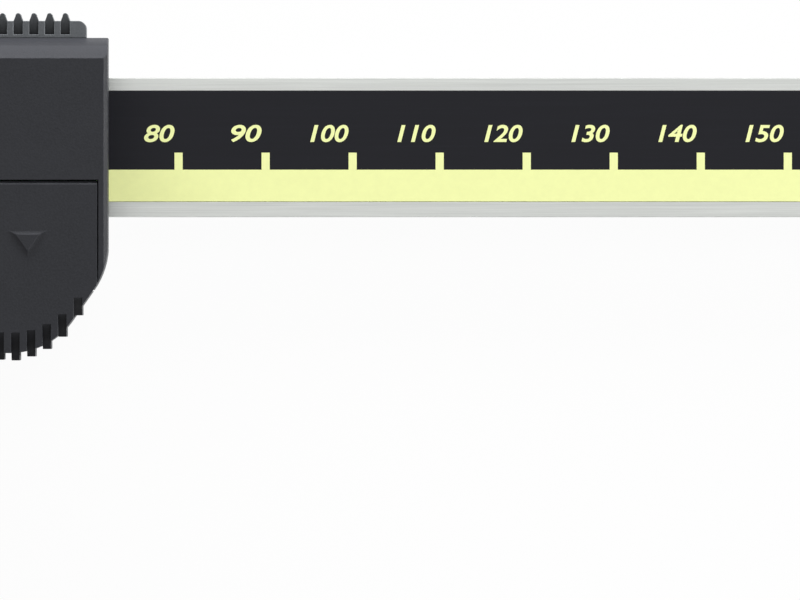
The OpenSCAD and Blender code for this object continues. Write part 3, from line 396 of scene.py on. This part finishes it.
mark_row, into, out = node_tree("mark_row", [
    ("Start", "Vector"), ("Step", "Vector"), ("Count", "Int"), ("Mark Size", "Vector"), ("Ink", "Material"),
])
line = add(
    mark_row, "GeometryNodeMeshLine", Count=into["Count"], Start_Location=into["Start"], Offset=into["Step"]
)
bar = add(mark_row, "GeometryNodeMeshCube", Size=into["Mark Size"])
row = add(mark_row, "GeometryNodeInstanceOnPoints", Points=line.outputs[0], Instance=bar.outputs[0])
real = add(mark_row, "GeometryNodeRealizeInstances", row.outputs[0])
inked = add(mark_row, "GeometryNodeSetMaterial", Geometry=real.outputs[0], Material=into["Ink"])
mark_row.links.new(inked.outputs[0], out)

printed = grown(mark_row, {
    "Start": (zero_x, (band_top + mark_top) / 2, (print_low + print_high) / 2),
    "Step": (number_step * mm, 0.0, 0.0),
    "Count": number_last // number_step + 1,
    "Mark Size": (mark_width, mark_top - band_top + mark_overlap, print_high - print_low),
    "Ink": scale_ink,
})


def add_slab(mesh, low, high):
    """A flat rectangular print between two corners, added to a mesh."""
    corners = bmesh.ops.create_cube(mesh, size=1.0)["verts"]
    for v in corners:
        v.co = Vector([low[i] if v.co[i] < 0 else high[i] for i in range(3)])


add_slab(printed, (film_low.x, film_low.y, print_low), (film_high.x, band_top, print_high))


def lettering(mesh, words, end, height, low, high, width=None, lean=0.0, bold=0.0, from_right=True):
    """Printed words added to a mesh as thin closed ink, on a line that ends at a point or has it midway."""
    curve = bpy.data.curves.new("lettering", "FONT")
    curve.body = words
    curve.shear = lean
    curve.offset = bold
    curve.extrude = 0.5
    curve.resolution_u = 6
    holder = bpy.data.objects.new("lettering", curve)
    scene.collection.objects.link(holder)
    bpy.context.view_layer.update()
    made = bpy.data.meshes.new_from_object(holder.evaluated_get(bpy.context.evaluated_depsgraph_get()))
    xs = [v.co.x for v in made.vertices]
    ys = [v.co.y for v in made.vertices]
    tall = height / (max(ys) - min(ys))
    broad = width / (max(xs) - min(xs)) if width else tall
    origin = max(xs) if from_right else (max(xs) + min(xs)) / 2
    for v in made.vertices:
        z = low if v.co.z < 0 else high
        v.co = Vector((end[0] + (v.co.x - origin) * broad, end[1] + (v.co.y - min(ys)) * tall, z))
    part = bmesh.new()
    part.from_mesh(made)
    bmesh.ops.remove_doubles(part, verts=part.verts, dist=merge_reach)
    bmesh.ops.recalc_face_normals(part, faces=part.faces)
    part.to_mesh(made)
    part.free()
    mesh.from_mesh(made)
    bpy.data.objects.remove(holder)
    bpy.data.curves.remove(curve)
    bpy.data.meshes.remove(made)


for number in range(0, number_last + 1, number_step):
    figures = str(number)
    end = (zero_x + number * mm - mark_width / 2, number_low)
    width = number_widths[len(figures)]
    lettering(printed, figures, end, number_height, print_low, print_high, width, number_lean, number_bold)
piece("scale_print", printed, scale_ink, "beam")

# End stop plate: a small plate that keeps the slider from running off, held on the beam's back by two screws.
# Punched from stainless strip, brushed crosswise.
plate_colour = (0.60, 0.605, 0.61)
plate_roughness = 0.34
brush_fineness = 5200.0
punched_edge = 0.12 * mm
stop_steel = ground_steel("stop_steel", plate_colour, plate_roughness, brush_fineness, (1.0, 0.012, 1.0))
stop_plate = broken_edges("end_stop_plate", punched_edge)
piece("stop_plate", stop_plate, stop_steel, "beam", ["end_stop_plate"])

# Plate screws: small countersunk screws with a cross recess, flush in the end stop plate and the back plate.
# Steel, turned on a lathe, so their heads show fine rings round the recess.
screw_colour = (0.40, 0.40, 0.41)
ring_depth = 0.02 * mm
turned_steel, tree, shader, place = fresh_material("turned_steel", 0.95)
own = add(tree, "ShaderNodeAttribute", settings={"attribute_name": "own_place"}).outputs["Vector"]
ring_wave = add(
    tree, "ShaderNodeTexWave", Vector=own, Scale=1500.0, Distortion=0.6, Detail=2.0,
    settings={"wave_type": "RINGS", "rings_direction": "Z"},
)
rings = ring_wave.outputs["Fac"]
cloud = noise(tree, place, 1400.0, 4.0)
body = tint(tree, rings, rgb(screw_colour, 0.8), rgb(screw_colour, 1.3))
body = tint(tree, spread(tree, cloud, 0.45, 0.7, 0.0, 0.5), body, rgb(screw_colour, 0.55))
coat(tree, shader, body, spread(tree, cloud, 0.3, 0.7, 0.26, 0.42))
relief(tree, shader, rings, 0.2, ring_depth)

screw_set, into, out = node_tree("screw_set", [
    ("Head Radius", "Float"), ("Neck Radius", "Float"), ("Head Height", "Float"), ("Shank Radius", "Float"),
    ("Length", "Float"), ("Recess Across", "Float"), ("Recess Width", "Float"), ("Recess Depth", "Float"),
    ("Turn", "Vector"), ("Steel", "Material"),
])
screw_sides = 40
head = add(
    screw_set, "GeometryNodeMeshCone", Vertices=screw_sides, Radius_Top=into["Neck Radius"],
    Radius_Bottom=into["Head Radius"], Depth=into["Head Height"],
)
head_half = calc(screw_set, "MULTIPLY", into["Head Height"], 0.5)
shank_length = calc(screw_set, "SUBTRACT", into["Length"], head_half)
shank_half = calc(screw_set, "MULTIPLY", shank_length, 0.5)
shank_middle = calc(screw_set, "SUBTRACT", into["Length"], shank_half)
shank = add(
    screw_set, "GeometryNodeMeshCylinder", Vertices=screw_sides, Radius=into["Shank Radius"],
    Depth=shank_length,
)
lift = add(screw_set, "ShaderNodeCombineXYZ", 0.0, 0.0, shank_middle).outputs[0]
shank = add(screw_set, "GeometryNodeTransform", Geometry=shank.outputs[0], Translation=lift)
solid = add(screw_set, "GeometryNodeMeshBoolean", settings={"operation": "UNION", "solver": "MANIFOLD"})
for part in (head, shank):
    screw_set.links.new(part.outputs[0], solid.inputs["Mesh 2"])
depth_twice = calc(screw_set, "MULTIPLY", into["Recess Depth"], 2.0)
across = into["Recess Across"]
width = into["Recess Width"]
recess = add(screw_set, "GeometryNodeMeshBoolean", settings={"operation": "DIFFERENCE", "solver": "MANIFOLD"})
screw_set.links.new(solid.outputs[0], recess.inputs["Mesh 1"])
for arm in ((across, width), (width, across)):
    arm_size = add(screw_set, "ShaderNodeCombineXYZ", *arm, depth_twice).outputs[0]
    arm_block = add(screw_set, "GeometryNodeMeshCube", Size=arm_size)
    screw_set.links.new(arm_block.outputs[0], recess.inputs["Mesh 2"])
spot = add(screw_set, "GeometryNodeInputPosition").outputs[0]
kept = add(
    screw_set, "GeometryNodeStoreNamedAttribute", Geometry=recess.outputs[0], Name="own_place", Value=spot,
    settings={"data_type": "FLOAT_VECTOR", "domain": "POINT"},
)
turn = add(screw_set, "FunctionNodeEulerToRotation", into["Turn"]).outputs[0]
row = add(
    screw_set, "GeometryNodeInstanceOnPoints", Points=into["Geometry"], Instance=kept.outputs[0],
    Rotation=turn,
)
real = add(screw_set, "GeometryNodeRealizeInstances", row.outputs[0])
steel = add(screw_set, "GeometryNodeSetMaterial", Geometry=real.outputs[0], Material=into["Steel"])
screw_set.links.new(steel.outputs[0], out)

head_radius = 1.58 * mm
neck_radius = 0.9 * mm
plate_head_inset = 1.6 * mm
plate_screw = {
    "Head Radius": head_radius,
    "Neck Radius": neck_radius,
    "Head Height": head_radius - neck_radius,
    "Shank Radius": 0.86 * mm,
    "Length": 4.0 * mm,
    "Recess Across": 2.1 * mm,
    "Recess Width": 0.45 * mm,
    "Recess Depth": 0.45 * mm,
    "Turn": (0.0, 0.0, 0.4),
    "Steel": turned_steel,
}


def screw_places(node, inset, z):
    """Where screws stand at the corners of the box that their CAD node fills."""
    low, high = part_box(node)
    xs = sorted({round(low.x + inset, 6), round(high.x - inset, 6)})
    return [(x, y, z) for x in xs for y in (low.y + inset, high.y - inset)]


def screws(name, node, body, places, sizes):
    """A set of like screws in place of their CAD node."""
    piece(name, grown(screw_set, sizes, places), turned_steel, body, [node], smooth=30)


head_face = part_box("end_stop_screws")[0].z
stop_places = screw_places("end_stop_screws", plate_head_inset, head_face)
screws("stop_screws", "end_stop_screws", "beam", stop_places, plate_screw)

# Slider frame: the steel saddle with both moving jaws that runs on the beam and carries everything else.
# Machined from one hardened block, ground on its faces, with knife edges on the inside jaw.
slider_steel = ground_steel("slider_steel", steel_colour, 0.31, bar=bar_edges)
saddle = broken_edges("slider_frame", 0.09 * mm, touched={"narrow_side": narrow_side})
piece("ground_slider", saddle, slider_steel, "slider", ["slider_frame"])

# Gib strip and its two set screws: a bronze strip in the saddle that takes up the play over the beam.
# Rolled strip, smooth where it runs; the screws have a plain slot and press on it from above.
bronze_colour = (0.72, 0.50, 0.25)
strip_edge = 0.06 * mm
bronze = ground_steel("rolled_bronze", bronze_colour, 0.30, 5000.0)
gib = broken_edges("gib_strip", strip_edge)
piece("bronze_gib", gib, bronze, "slider", ["gib_strip"])
set_screws = broken_edges("gib_screws", 0.05 * mm)
piece("gib_set_screws", set_screws, turned_steel, "slider", ["gib_screws"])

# Depth rod and its rivets: the flat rod that slides out of the beam's end, riveted under the saddle.
# Drawn stainless strip, ground along its length, with a stepped tip.
rod_steel = ground_steel("rod_steel", steel_colour, 0.26, 7000.0)
rod = broken_edges("depth_rod", strip_edge)
piece("drawn_rod", rod, rod_steel, "slider", ["depth_rod"])
rivets = broken_edges("depth_rod_rivets", 0.12 * mm, steps=3)
piece("rod_rivets", rivets, turned_steel, "slider", ["depth_rod_rivets"])

# Back plate: the flat cover under the saddle that keeps it on the beam, with four screws.
# Stainless sheet, punched and brushed along its length.
cover_steel = ground_steel("cover_steel", plate_colour, plate_roughness, brush_fineness, (0.012, 1.0, 1.0))
back = broken_edges("back_plate", punched_edge)
piece("brushed_back", back, cover_steel, "slider", ["back_plate"])
head_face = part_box("back_plate_screws")[0].z
back_places = screw_places("back_plate_screws", plate_head_inset, head_face)
screws("back_screws", "back_plate_screws", "slider", back_places, plate_screw)

# Boards: the sensor board that reads the scale, the circuit board over it, its controller and switch domes.
# Glass-fibre boards with green lacquer, a moulded black chip and sprung steel domes under the buttons.
board_green = resin_board("board_lacquer", (0.03, 0.20, 0.08))
dress("sensor_board", board_green)
dress("circuit_board", board_green)


def fine_metal(name, colour, roughness):
    """Small bright or plated metal parts: soft cloudy shine."""
    material, tree, shader, place = fresh_material(name, 0.95)
    cloud = noise(tree, place, 800.0, 4.0)
    body = tint(tree, cloud, rgb(colour, 0.8), rgb(colour, 1.15))
    coat(tree, shader, body, spread(tree, cloud, 0.3, 0.7, roughness, roughness + 0.14))
    return material


grain_fineness = 4200.0
grain_depth = 0.04 * mm
flow_share = 0.045
moulded_grain, into, out = effect("moulded_grain", [("Fineness", grain_fineness)], ["Height", "Tone"])
pit = noise(moulded_grain, into["Vector"], into["Fineness"], 2.5, Roughness=0.6)
flow_scale = calc(moulded_grain, "MULTIPLY", into["Fineness"], flow_share)
flow = noise(moulded_grain, into["Vector"], flow_scale, 4.0)
moulded_grain.links.new(pit, out["Height"])
moulded_grain.links.new(flow, out["Tone"])


def moulded_plastic(name, colour, roughness, bump=0.35, specular=0.36, wear=0.5):
    """Moulded plastic with a fine grain and paler worn edges, with a painted highlight and painted shade
    where the mesh keeps shares for them.
    """
    material, tree, shader, place = fresh_material(name, 0.0, specular)
    grain = use(tree, moulded_grain, place, Fineness=grain_fineness)
    marks = use(tree, handling, place, Reach=85.0)
    worn = use(tree, edge_wear, place, Amount=wear)[0]
    painted_shade = attribute(tree, "painted_shade")
    pitted = spread(tree, grain["Height"], 0.3, 0.7, 0.0, 1.0)
    body = tint(tree, pitted, rgb(colour, 0.86), rgb(colour, 1.14))
    body = tint(tree, spread(tree, grain["Tone"], 0.4, 0.7, 0.0, 0.30), body, rgb(colour, 1.25))
    body = tint(tree, calc(tree, "MULTIPLY", marks["Scratch"], 0.10), body, rgb(colour, 2.0))
    body = tint(tree, worn, body, rgb(colour, 1.9))
    # Painted highlight: paler where the mesh marks faces that the light from above falls on.
    body = tint(tree, attribute(tree, "lightened"), body, rgb(colour, 1.9))
    # Painted shade: darker, and below also rougher, in recesses where the mesh marks it.
    body = tint(tree, painted_shade, body, rgb(colour, 0.22))
    rough = spread(tree, marks["Smudge"], 0.0, 1.0, roughness + 0.05, roughness - 0.05)
    rough = calc(tree, "MULTIPLY_ADD", worn, -0.10, rough)
    coat(tree, shader, body, calc(tree, "MULTIPLY_ADD", painted_shade, 0.3, rough))
    relief(tree, shader, grain["Height"], bump, grain_depth)
    return material


black_resin = (0.02, 0.02, 0.022)
resin_roughness = 0.5
dress("controller_chip", moulded_plastic("chip_resin", black_resin, resin_roughness))
dress("switch_domes", fine_metal("dome_steel", (0.72, 0.72, 0.71), 0.16))

# Display: a liquid crystal panel on two striped rubber strips that join it to the board.
# A glass sandwich with a grey-green reflector; the digits are its own dark segments.
panel_low, panel_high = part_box("display_panel")
panel_colour = (0.40, 0.44, 0.36)
panel_glass, tree, shader, place = fresh_material("panel_glass", 0.0)
sheen = noise(tree, place, 5200.0, 2.0)
cloud = noise(tree, place, 60.0, 3.0)
body = tint(tree, sheen, rgb(panel_colour, 0.93), rgb(panel_colour, 1.07))
body = tint(tree, spread(tree, cloud, 0.4, 0.7, 0.0, 0.25), body, rgb(panel_colour, 0.86))
coat(tree, shader, body, spread(tree, sheen, 0.3, 0.7, 0.22, 0.32))
panel = broken_edges("display_panel", 0.10 * mm)
piece("display_glass", panel, panel_glass, "slider", ["display_panel"])

stripe_dark = (0.42, 0.27, 0.28)
stripe_pale = (0.62, 0.47, 0.48)
strip_rubber, tree, shader, place = fresh_material("strip_rubber", 0.0, specular=0.3)
stripe_wave = add(tree, "ShaderNodeTexWave", Vector=place, Scale=1600.0, settings={"bands_direction": "X"})
stripes = stripe_wave.outputs["Fac"]
body = tint(tree, stripes, rgb(stripe_dark), rgb(stripe_pale))
coat(tree, shader, body, spread(tree, stripes, 0.0, 1.0, 0.55, 0.75))
dress("display_connectors", strip_rubber)

segment_colour = (0.025, 0.028, 0.03)
segment_ink, tree, shader, place = fresh_material("segment_ink", 0.0)
cloud = noise(tree, place, 1800.0, 3.0)
body = tint(tree, cloud, rgb(segment_colour, 0.8), rgb(segment_colour, 1.4))
coat(tree, shader, body, spread(tree, cloud, 0.3, 0.7, 0.25, 0.35))

digit_count = 3
digit_height = 7.2 * mm
digit_width = 3.5 * mm
digit_step = 5.0 * mm
digit_lean = 0.10
digit_low = panel_low.y + 2.9 * mm
last_digit_x = panel_high.x - 10.2 * mm
bar_width = 0.72 * mm
bar_gap = 0.10 * mm
dot_half = 0.4 * mm
unit_height = 1.25 * mm
unit_width = 3.1 * mm
unit_bold = 0.01
segment_low = panel_high.z - 0.01 * mm
segment_high = panel_high.z + 0.02 * mm
zero_bars = [
    ((0, 2), (1, 2)), ((1, 1), (1, 2)), ((1, 0), (1, 1)),
    ((0, 0), (1, 0)), ((0, 0), (0, 1)), ((0, 1), (0, 2)),
]


def leaned(x, y):
    """A point of the display with the digits' slant."""
    return x + (y - digit_low) * digit_lean, y


def add_outline(mesh, points, low, high):
    """A flat shape given by its outline, added to a mesh as a thin closed plate."""
    base = [mesh.verts.new((x, y, low)) for x, y in points]
    top = [mesh.verts.new((x, y, high)) for x, y in points]
    mesh.faces.new(reversed(base))
    mesh.faces.new(top)
    for i in range(len(points)):
        k = (i + 1) % len(points)
        mesh.faces.new((base[i], base[k], top[k], top[i]))


def add_segment(mesh, start, end, width, gap):
    """One pointed bar of a digit."""
    a = Vector(start)
    b = Vector(end)
    way = (b - a).normalized()
    side = Vector((-way.y, way.x)) * (width / 2)
    a = a + way * gap
    b = b - way * gap
    point = way * (width / 2)
    shape = [a, a + point - side, b - point - side, b, b - point + side, a + point + side]
    add_outline(mesh, [leaned(p.x, p.y) for p in shape], segment_low, segment_high)


digits = bmesh.new()
for digit in range(digit_count):
    x = last_digit_x - (digit_count - 1 - digit) * digit_step
    for zero_bar in zero_bars:
        ends = [(x + u * digit_width, digit_low + v * digit_height / 2) for u, v in zero_bar]
        add_segment(digits, ends[0], ends[1], bar_width, bar_gap)
dot_x = last_digit_x - digit_step - (digit_step - digit_width) / 2
dot_corners = [(-1, -1), (1, -1), (1, 1), (-1, 1)]
dot = [(dot_x + u * dot_half, digit_low + v * dot_half) for u, v in dot_corners]
add_outline(digits, dot, segment_low, segment_high)
unit_end = (panel_high.x - 2.2 * mm, digit_low - 0.3 * mm)
lettering(digits, "mm", unit_end, unit_height, segment_low, segment_high, unit_width, bold=unit_bold)
piece("display_digits", digits, segment_ink, "slider")

# Front housing: the dark cover of the slider that holds the display, the buttons and the battery.
# Injection moulded plastic with a fine spark-eroded grain and two bevels along its top edge.
housing_colour = (0.0242, 0.0252, 0.0292)
housing_roughness = 0.45
housing_specular = 0.22
moulded_edge = 0.07 * mm
housing_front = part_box("front_housing")[1].z


def bevel_rub(normal, p):
    """The two bevels along the top, painted paler as a painted highlight of the light from above that falls
    on them.
    """
    if normal.y < 0.5 or normal.z < 0.3:
        return 0.0
    return 0.8 if normal.z > 0.6 else 0.3


housing_grain = moulded_plastic("housing_grain", housing_colour, housing_roughness, specular=housing_specular)
# The top bevels get a painted highlight.
shell = broken_edges("front_housing", moulded_edge, touched={"lightened": bevel_rub})
piece("moulded_housing", shell, housing_grain, "slider", ["front_housing"])
boss_head_radius = 1.28 * mm
boss_head_inset = 1.3 * mm
boss_low, boss_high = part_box("housing_screws")
boss_screw = dict(plate_screw)
boss_screw.update({
    "Head Radius": boss_head_radius,
    "Neck Radius": boss_head_radius,
    "Head Height": 1.0 * mm,
    "Shank Radius": 0.8 * mm,
    "Length": boss_high.z - boss_low.z,
    "Recess Across": 1.7 * mm,
})
boss_places = screw_places("housing_screws", boss_head_inset, boss_low.z)
screws("boss_screws", "housing_screws", "slider", boss_places, boss_screw)

# Button words: small plain words printed on the housing over the buttons.
# White pad-printed ink.
white_thin = (0.66, 0.66, 0.65)
white_full = (0.80, 0.80, 0.79)
word_height = 1.05 * mm
word_drop = 0.22 * mm
word_bold = 0.012
word_low = housing_front - 0.01 * mm
word_high = housing_front + 0.015 * mm
label_white, tree, shader, place = fresh_material("label_white", 0.0, specular=0.3)
cover = noise(tree, place, 2500.0, 4.0)
body = tint(tree, cover, rgb(white_thin), rgb(white_full))
coat(tree, shader, body, spread(tree, cover, 0.3, 0.7, 0.45, 0.6))
words = bmesh.new()
for node, label in (("zero_button", "ZERO"), ("origin_button", "ORIGIN"), ("power_button", "ON/OFF")):
    low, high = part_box(node)
    stand = ((low.x + high.x) / 2, high.y - word_drop)
    lettering(words, label, stand, word_height, word_low, word_high, bold=word_bold, from_right=False)
piece("button_words", words, label_white, "slider")

# Display window: a clear acrylic pane set in the housing over the display.
# Cut from sheet and glued in, with a small polished round on its edge.
clear_pane, tree, shader, place = fresh_material("clear_pane", 0.0)
shader.inputs["Transmission Weight"].default_value = 1.0
shader.inputs["IOR"].default_value = 1.49
shader.inputs["Base Color"].default_value = (0.95, 0.97, 0.96, 1.0)
smudge = use(tree, handling, place, Reach=60.0)["Smudge"]
tree.links.new(spread(tree, smudge, 0.0, 1.0, 0.015, 0.07), shader.inputs["Roughness"])
pane = broken_edges("display_window", 0.10 * mm)
piece("window_pane", pane, clear_pane, "slider", ["display_window"])

# Buttons: three caps that stand out of the housing on stems over the switch domes.
# Moulded in grey and blue plastic, with soft edges for the finger.
soft_edge = 0.22 * mm
cap_bump = 0.2
cap_wear = 0.15
cap_roughness = 0.45
button_grey = moulded_plastic("button_grey", (0.40, 0.42, 0.44), cap_roughness, cap_bump, wear=cap_wear)
button_blue = moulded_plastic("button_blue", (0.09, 0.20, 0.46), cap_roughness, cap_bump, wear=cap_wear)
button_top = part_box("zero_button")[1].z - 0.2 * mm
for node, plastic, slot in (
    ("zero_button", button_blue, "button_blue"),
    ("origin_button", button_grey, "button_grey"),
    ("power_button", button_grey, "button_grey"),
):
    cap = broken_edges(node, soft_edge, steps=3, keep=lambda p: p.z > button_top)
    piece(node.replace("button", "cap"), cap, plastic, node, [node])

# Battery with its spring and clip: the silver oxide cell in the housing's bay and its two contacts.
# The cell is pressed steel; the contacts are plated spring bronze.
contact_gold = fine_metal("contact_gold", (0.83, 0.62, 0.27), 0.2)
dress("battery_spring", contact_gold)
dress("battery_clip", contact_gold)
cell_steel = fine_metal("cell_steel", (0.76, 0.76, 0.74), 0.2)
cell = broken_edges("battery", 0.25 * mm, steps=3)
piece("button_cell", cell, cell_steel, "slider", ["battery"])

# Battery cover: the lower right corner of the slider, with the ribbed thumb rest, slid on from below.
# Moulded in the housing's plastic; a raised triangle shows which way it comes off.
cover_grain = moulded_plastic("cover_grain", housing_colour, housing_roughness, specular=housing_specular)
cover_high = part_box("battery_cover")[1]
same_place = 0.01 * mm
seam_reach = 0.02 * mm
seam_chamfer = 0.35 * mm
# The painted shade in the scoops: its least and its most, and how much deeper it grows to its most.
painted_shade_least = 0.15
painted_shade_most = 0.62
painted_shade_fade = 2.0 * mm
mark_slope = 0.46 * mm
mark_half = 2.2 * mm
mark_drop = 3.15 * mm
mark_shift = Vector((0.14 * mm, 0.24 * mm))
mark_face = housing_front + 0.1 * mm
raised = [v.co.copy() for v in nodes["battery_cover"].data.vertices if v.co.z > mark_face]
mark_mid = sum((p.x for p in raised), 0.0) / len(raised) + mark_shift.x
mark_high = max(p.y for p in raised) + mark_shift.y
mark_tip = Vector((mark_mid, mark_high - mark_drop))
mark_core_y = mark_high - mark_half * mark_drop / (mark_half + math.hypot(mark_half, mark_drop))
mark_shrink = 1.0 - mark_slope / (mark_high - mark_core_y)


def sloped_mark(p):
    """The raised triangle with sloping sides: its top corners lie nearer to its middle than its foot."""
    near = [q for q in raised if abs(p.x - q.x) + abs(p.y - q.y) < same_place]
    if not near or p.z < housing_front - same_place:
        return p
    tip = p.y < mark_high - mark_drop / 2
    corner = mark_tip if tip else Vector((mark_mid + math.copysign(mark_half, p.x - mark_mid), mark_high))
    share = mark_shrink if p.z > mark_face else 1.0
    x = mark_mid + (corner.x - mark_mid) * share
    y = mark_core_y + (corner.y - mark_core_y) * share
    return Vector((x, y, p.z))


def scoop_soil(normal, p):
    """Painted shade in the scoops between the ribs, darker the deeper the scoop goes."""
    scoop = normal.y < -0.35 and normal.z > 0.35 and p.y < mark_tip.y
    return min(painted_shade_most, painted_shade_least + (housing_front - p.z) / painted_shade_fade) if scoop else 0.0


def on_seam(p):
    """Whether a corner lies on the front edge that faces the housing."""
    return p.y > cover_high.y - seam_reach and abs(p.z - housing_front) < seam_reach


thumb_rest = broken_edges(
    "battery_cover", moulded_edge, chamfer=seam_chamfer, chamfered=on_seam, reshape=sloped_mark,
    touched={"painted_shade": scoop_soil},
)
piece("thumb_cover", thumb_rest, cover_grain, "battery_cover", ["battery_cover"], smooth=25)

# Data port: the socket behind the ridged cover, with five plated contacts.
# Moulded black plastic.
dress("data_port_contacts", contact_gold)
dress("data_port_socket", moulded_plastic("socket_resin", black_resin, resin_roughness))

# Data port cover: the ridged cap on the housing's top that slides off its rail to the right.
# Moulded plastic, its colour painted paler than the housing's to stand for the light from above that falls on
# it.
port_low, port_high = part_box("data_port_cover")
# Painted light: this colour is paler than the housing's because of the light from above.
port_grain_painted_light = moulded_plastic("port_grain_painted_light", (0.088, 0.094, 0.101), 0.5)
notch_floor = port_high.z - 0.6 * mm
notch_low = port_low.y + 0.35 * mm
notch_slope = 0.20
notch_reach = 0.05 * mm
# The painted shade at the ribs' roots: its most, and how far up it fades.
root_painted_shade = 0.9
root_fade = 2.8 * mm
foot_clear = 0.02 * mm


def sloped_notch(p):
    """The notches' floors rise towards the ribs' tips."""
    if abs(p.z - notch_floor) >= same_place or p.y <= notch_low - notch_reach:
        return p
    return Vector((p.x, p.y, p.z + (p.y - notch_low) * notch_slope))


def notch_soil(normal, p):
    """Painted shade at the root of each rib, fading out towards its tip."""
    if normal.z < 0.8 or p.z > port_high.z - notch_reach or p.y < notch_low - notch_reach:
        return 0.0
    return max(0.0, root_painted_shade - (p.y - notch_low) / root_fade)


def off_the_foot(p):
    """Whether an edge lies clear of the cover's foot, which stands close on the housing."""
    return p.y > port_low.y + foot_clear


ridges = broken_edges(
    "data_port_cover", 0.08 * mm, keep=off_the_foot, reshape=sloped_notch, touched={"painted_shade": notch_soil}
)
piece("ridged_cover", ridges, port_grain_painted_light, "data_port_cover", ["data_port_cover"])

# Lock pad and lock screw: the knurled screw on top that presses a small bronze pad on the beam's edge.
# Turned steel, fluted round the knob.
pad = broken_edges("lock_pad", strip_edge)
piece("bronze_pad", pad, bronze, "lock_pad", ["lock_pad"])
knob_colour = (0.66, 0.665, 0.67)
knob_height = 6.0 * mm
knob_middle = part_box("lock_screw")[1].y - knob_height / 2
knob_steel = ground_steel("knob_steel", knob_colour, 0.22, 6000.0, (1.0, 0.05, 1.0))


def on_flute(p):
    """Whether an edge runs along a flute, away from the knob's two ends."""
    return abs(p.y - knob_middle) < knob_height / 4


knob = broken_edges("lock_screw", 0.05 * mm, steps=3, keep=on_flute)
piece("knurled_screw", knob, knob_steel, "lock_screw", ["lock_screw"], smooth=24)

# Photo stage: a white table under soft lamps, with the camera straight above at the photo's frame.
# The table is white to the camera and keeps a soft shadow of the caliper.
white = (1.0, 1.0, 1.0, 1.0)
paper_white = (0.88, 0.88, 0.88, 1.0)
glow_share = 0.95
reach = 6.0
below = -0.05 * mm
floor_mesh = bpy.data.meshes.new("table")
corners = [(-reach, -reach, below), (reach, -reach, below), (reach, reach, below), (-reach, reach, below)]
floor_mesh.from_pydata(corners, [], [(0, 1, 2, 3)])
table = bpy.data.objects.new("table", floor_mesh)
scene.collection.objects.link(table)
table_white = bpy.data.materials.new("table_white")
table_white.use_nodes = True
tree = table_white.node_tree
tree.nodes.clear()
rays = add(tree, "ShaderNodeLightPath").outputs
seen = calc(tree, "MAXIMUM", rays["Is Camera Ray"], rays["Is Glossy Ray"])
seen = calc(tree, "MAXIMUM", seen, rays["Is Transmission Ray"])
paper = add(tree, "ShaderNodeBsdfDiffuse", Color=paper_white)
glow = add(tree, "ShaderNodeEmission", Color=white, Strength=1.0)
glowing = calc(tree, "MULTIPLY", seen, glow_share)
both = add(tree, "ShaderNodeMixShader", glowing, paper.outputs[0], glow.outputs[0])
tree.links.new(both.outputs[0], add(tree, "ShaderNodeOutputMaterial").inputs["Surface"])
floor_mesh.materials.append(table_white)

room_light = 0.235
world = bpy.data.worlds.new("studio")
scene.world = world
world.use_nodes = True
tree = world.node_tree
tree.nodes.clear()
rays = add(tree, "ShaderNodeLightPath").outputs
seen = calc(tree, "MAXIMUM", rays["Is Camera Ray"], rays["Is Transmission Ray"])
facing = add(tree, "ShaderNodeSeparateXYZ", add(tree, "ShaderNodeTexCoord").outputs["Generated"]).outputs
ceiling = spread(tree, facing["Z"], 0.10, 0.90, 1.0, 0.92)
room = calc(tree, "MULTIPLY", ceiling, spread(tree, facing["Y"], -0.8, 0.2, 0.60, 1.0))
mirrored = calc(tree, "MULTIPLY", rays["Is Glossy Ray"], room)
not_mirrored = calc(tree, "SUBTRACT", 1.0, rays["Is Glossy Ray"])
soft = calc(tree, "MULTIPLY_ADD", not_mirrored, room_light, mirrored)
sky = add(tree, "ShaderNodeBackground", Color=white, Strength=calc(tree, "MAXIMUM", soft, seen))
tree.links.new(sky.outputs[0], add(tree, "ShaderNodeOutputWorld").inputs["Surface"])

aim = Vector((-0.00306, -0.00802, 0.010))


def lamp(name, place, width, height, power, glare=False):
    """A soft lamp that looks at the middle of the picture, polarised unless it may glare in the metal."""
    data = bpy.data.lights.new(name, "AREA")
    data.shape = "RECTANGLE"
    data.size = width
    data.size_y = height
    data.energy = power
    made = bpy.data.objects.new(name, data)
    made.location = place
    made.rotation_euler = (Vector(place) - aim).to_track_quat("Z", "Y").to_euler()
    made.visible_camera = False
    made.visible_glossy = glare
    scene.collection.objects.link(made)


long_place = (0.0, 0.75, 0.15)
lamp("long_lamp", long_place, width=1.3, height=0.30, power=10.0)
lamp("glare_lamp", long_place, width=1.3, height=0.30, power=8.0, glare=True)
lamp("side_lamp", (0.80, -0.05, 0.22), width=0.8, height=0.30, power=4.5, glare=True)
lamp("high_lamp", (0.35, 0.60, 0.95), width=0.8, height=0.6, power=4.0)

frame_width = 91.70 * mm
camera_data = bpy.data.cameras.new("camera")
camera_data.lens = 800.0
camera_data.sensor_width = 36.0
camera_data.clip_start = 0.05
camera_data.clip_end = 60.0
camera = bpy.data.objects.new("camera", camera_data)
camera.location = (aim.x, aim.y, aim.z + frame_width * camera_data.lens / camera_data.sensor_width)
camera.rotation_euler = (0.0, 0.0, 0.0)
scene.collection.objects.link(camera)
scene.camera = camera
scene.view_settings.view_transform = "Standard"
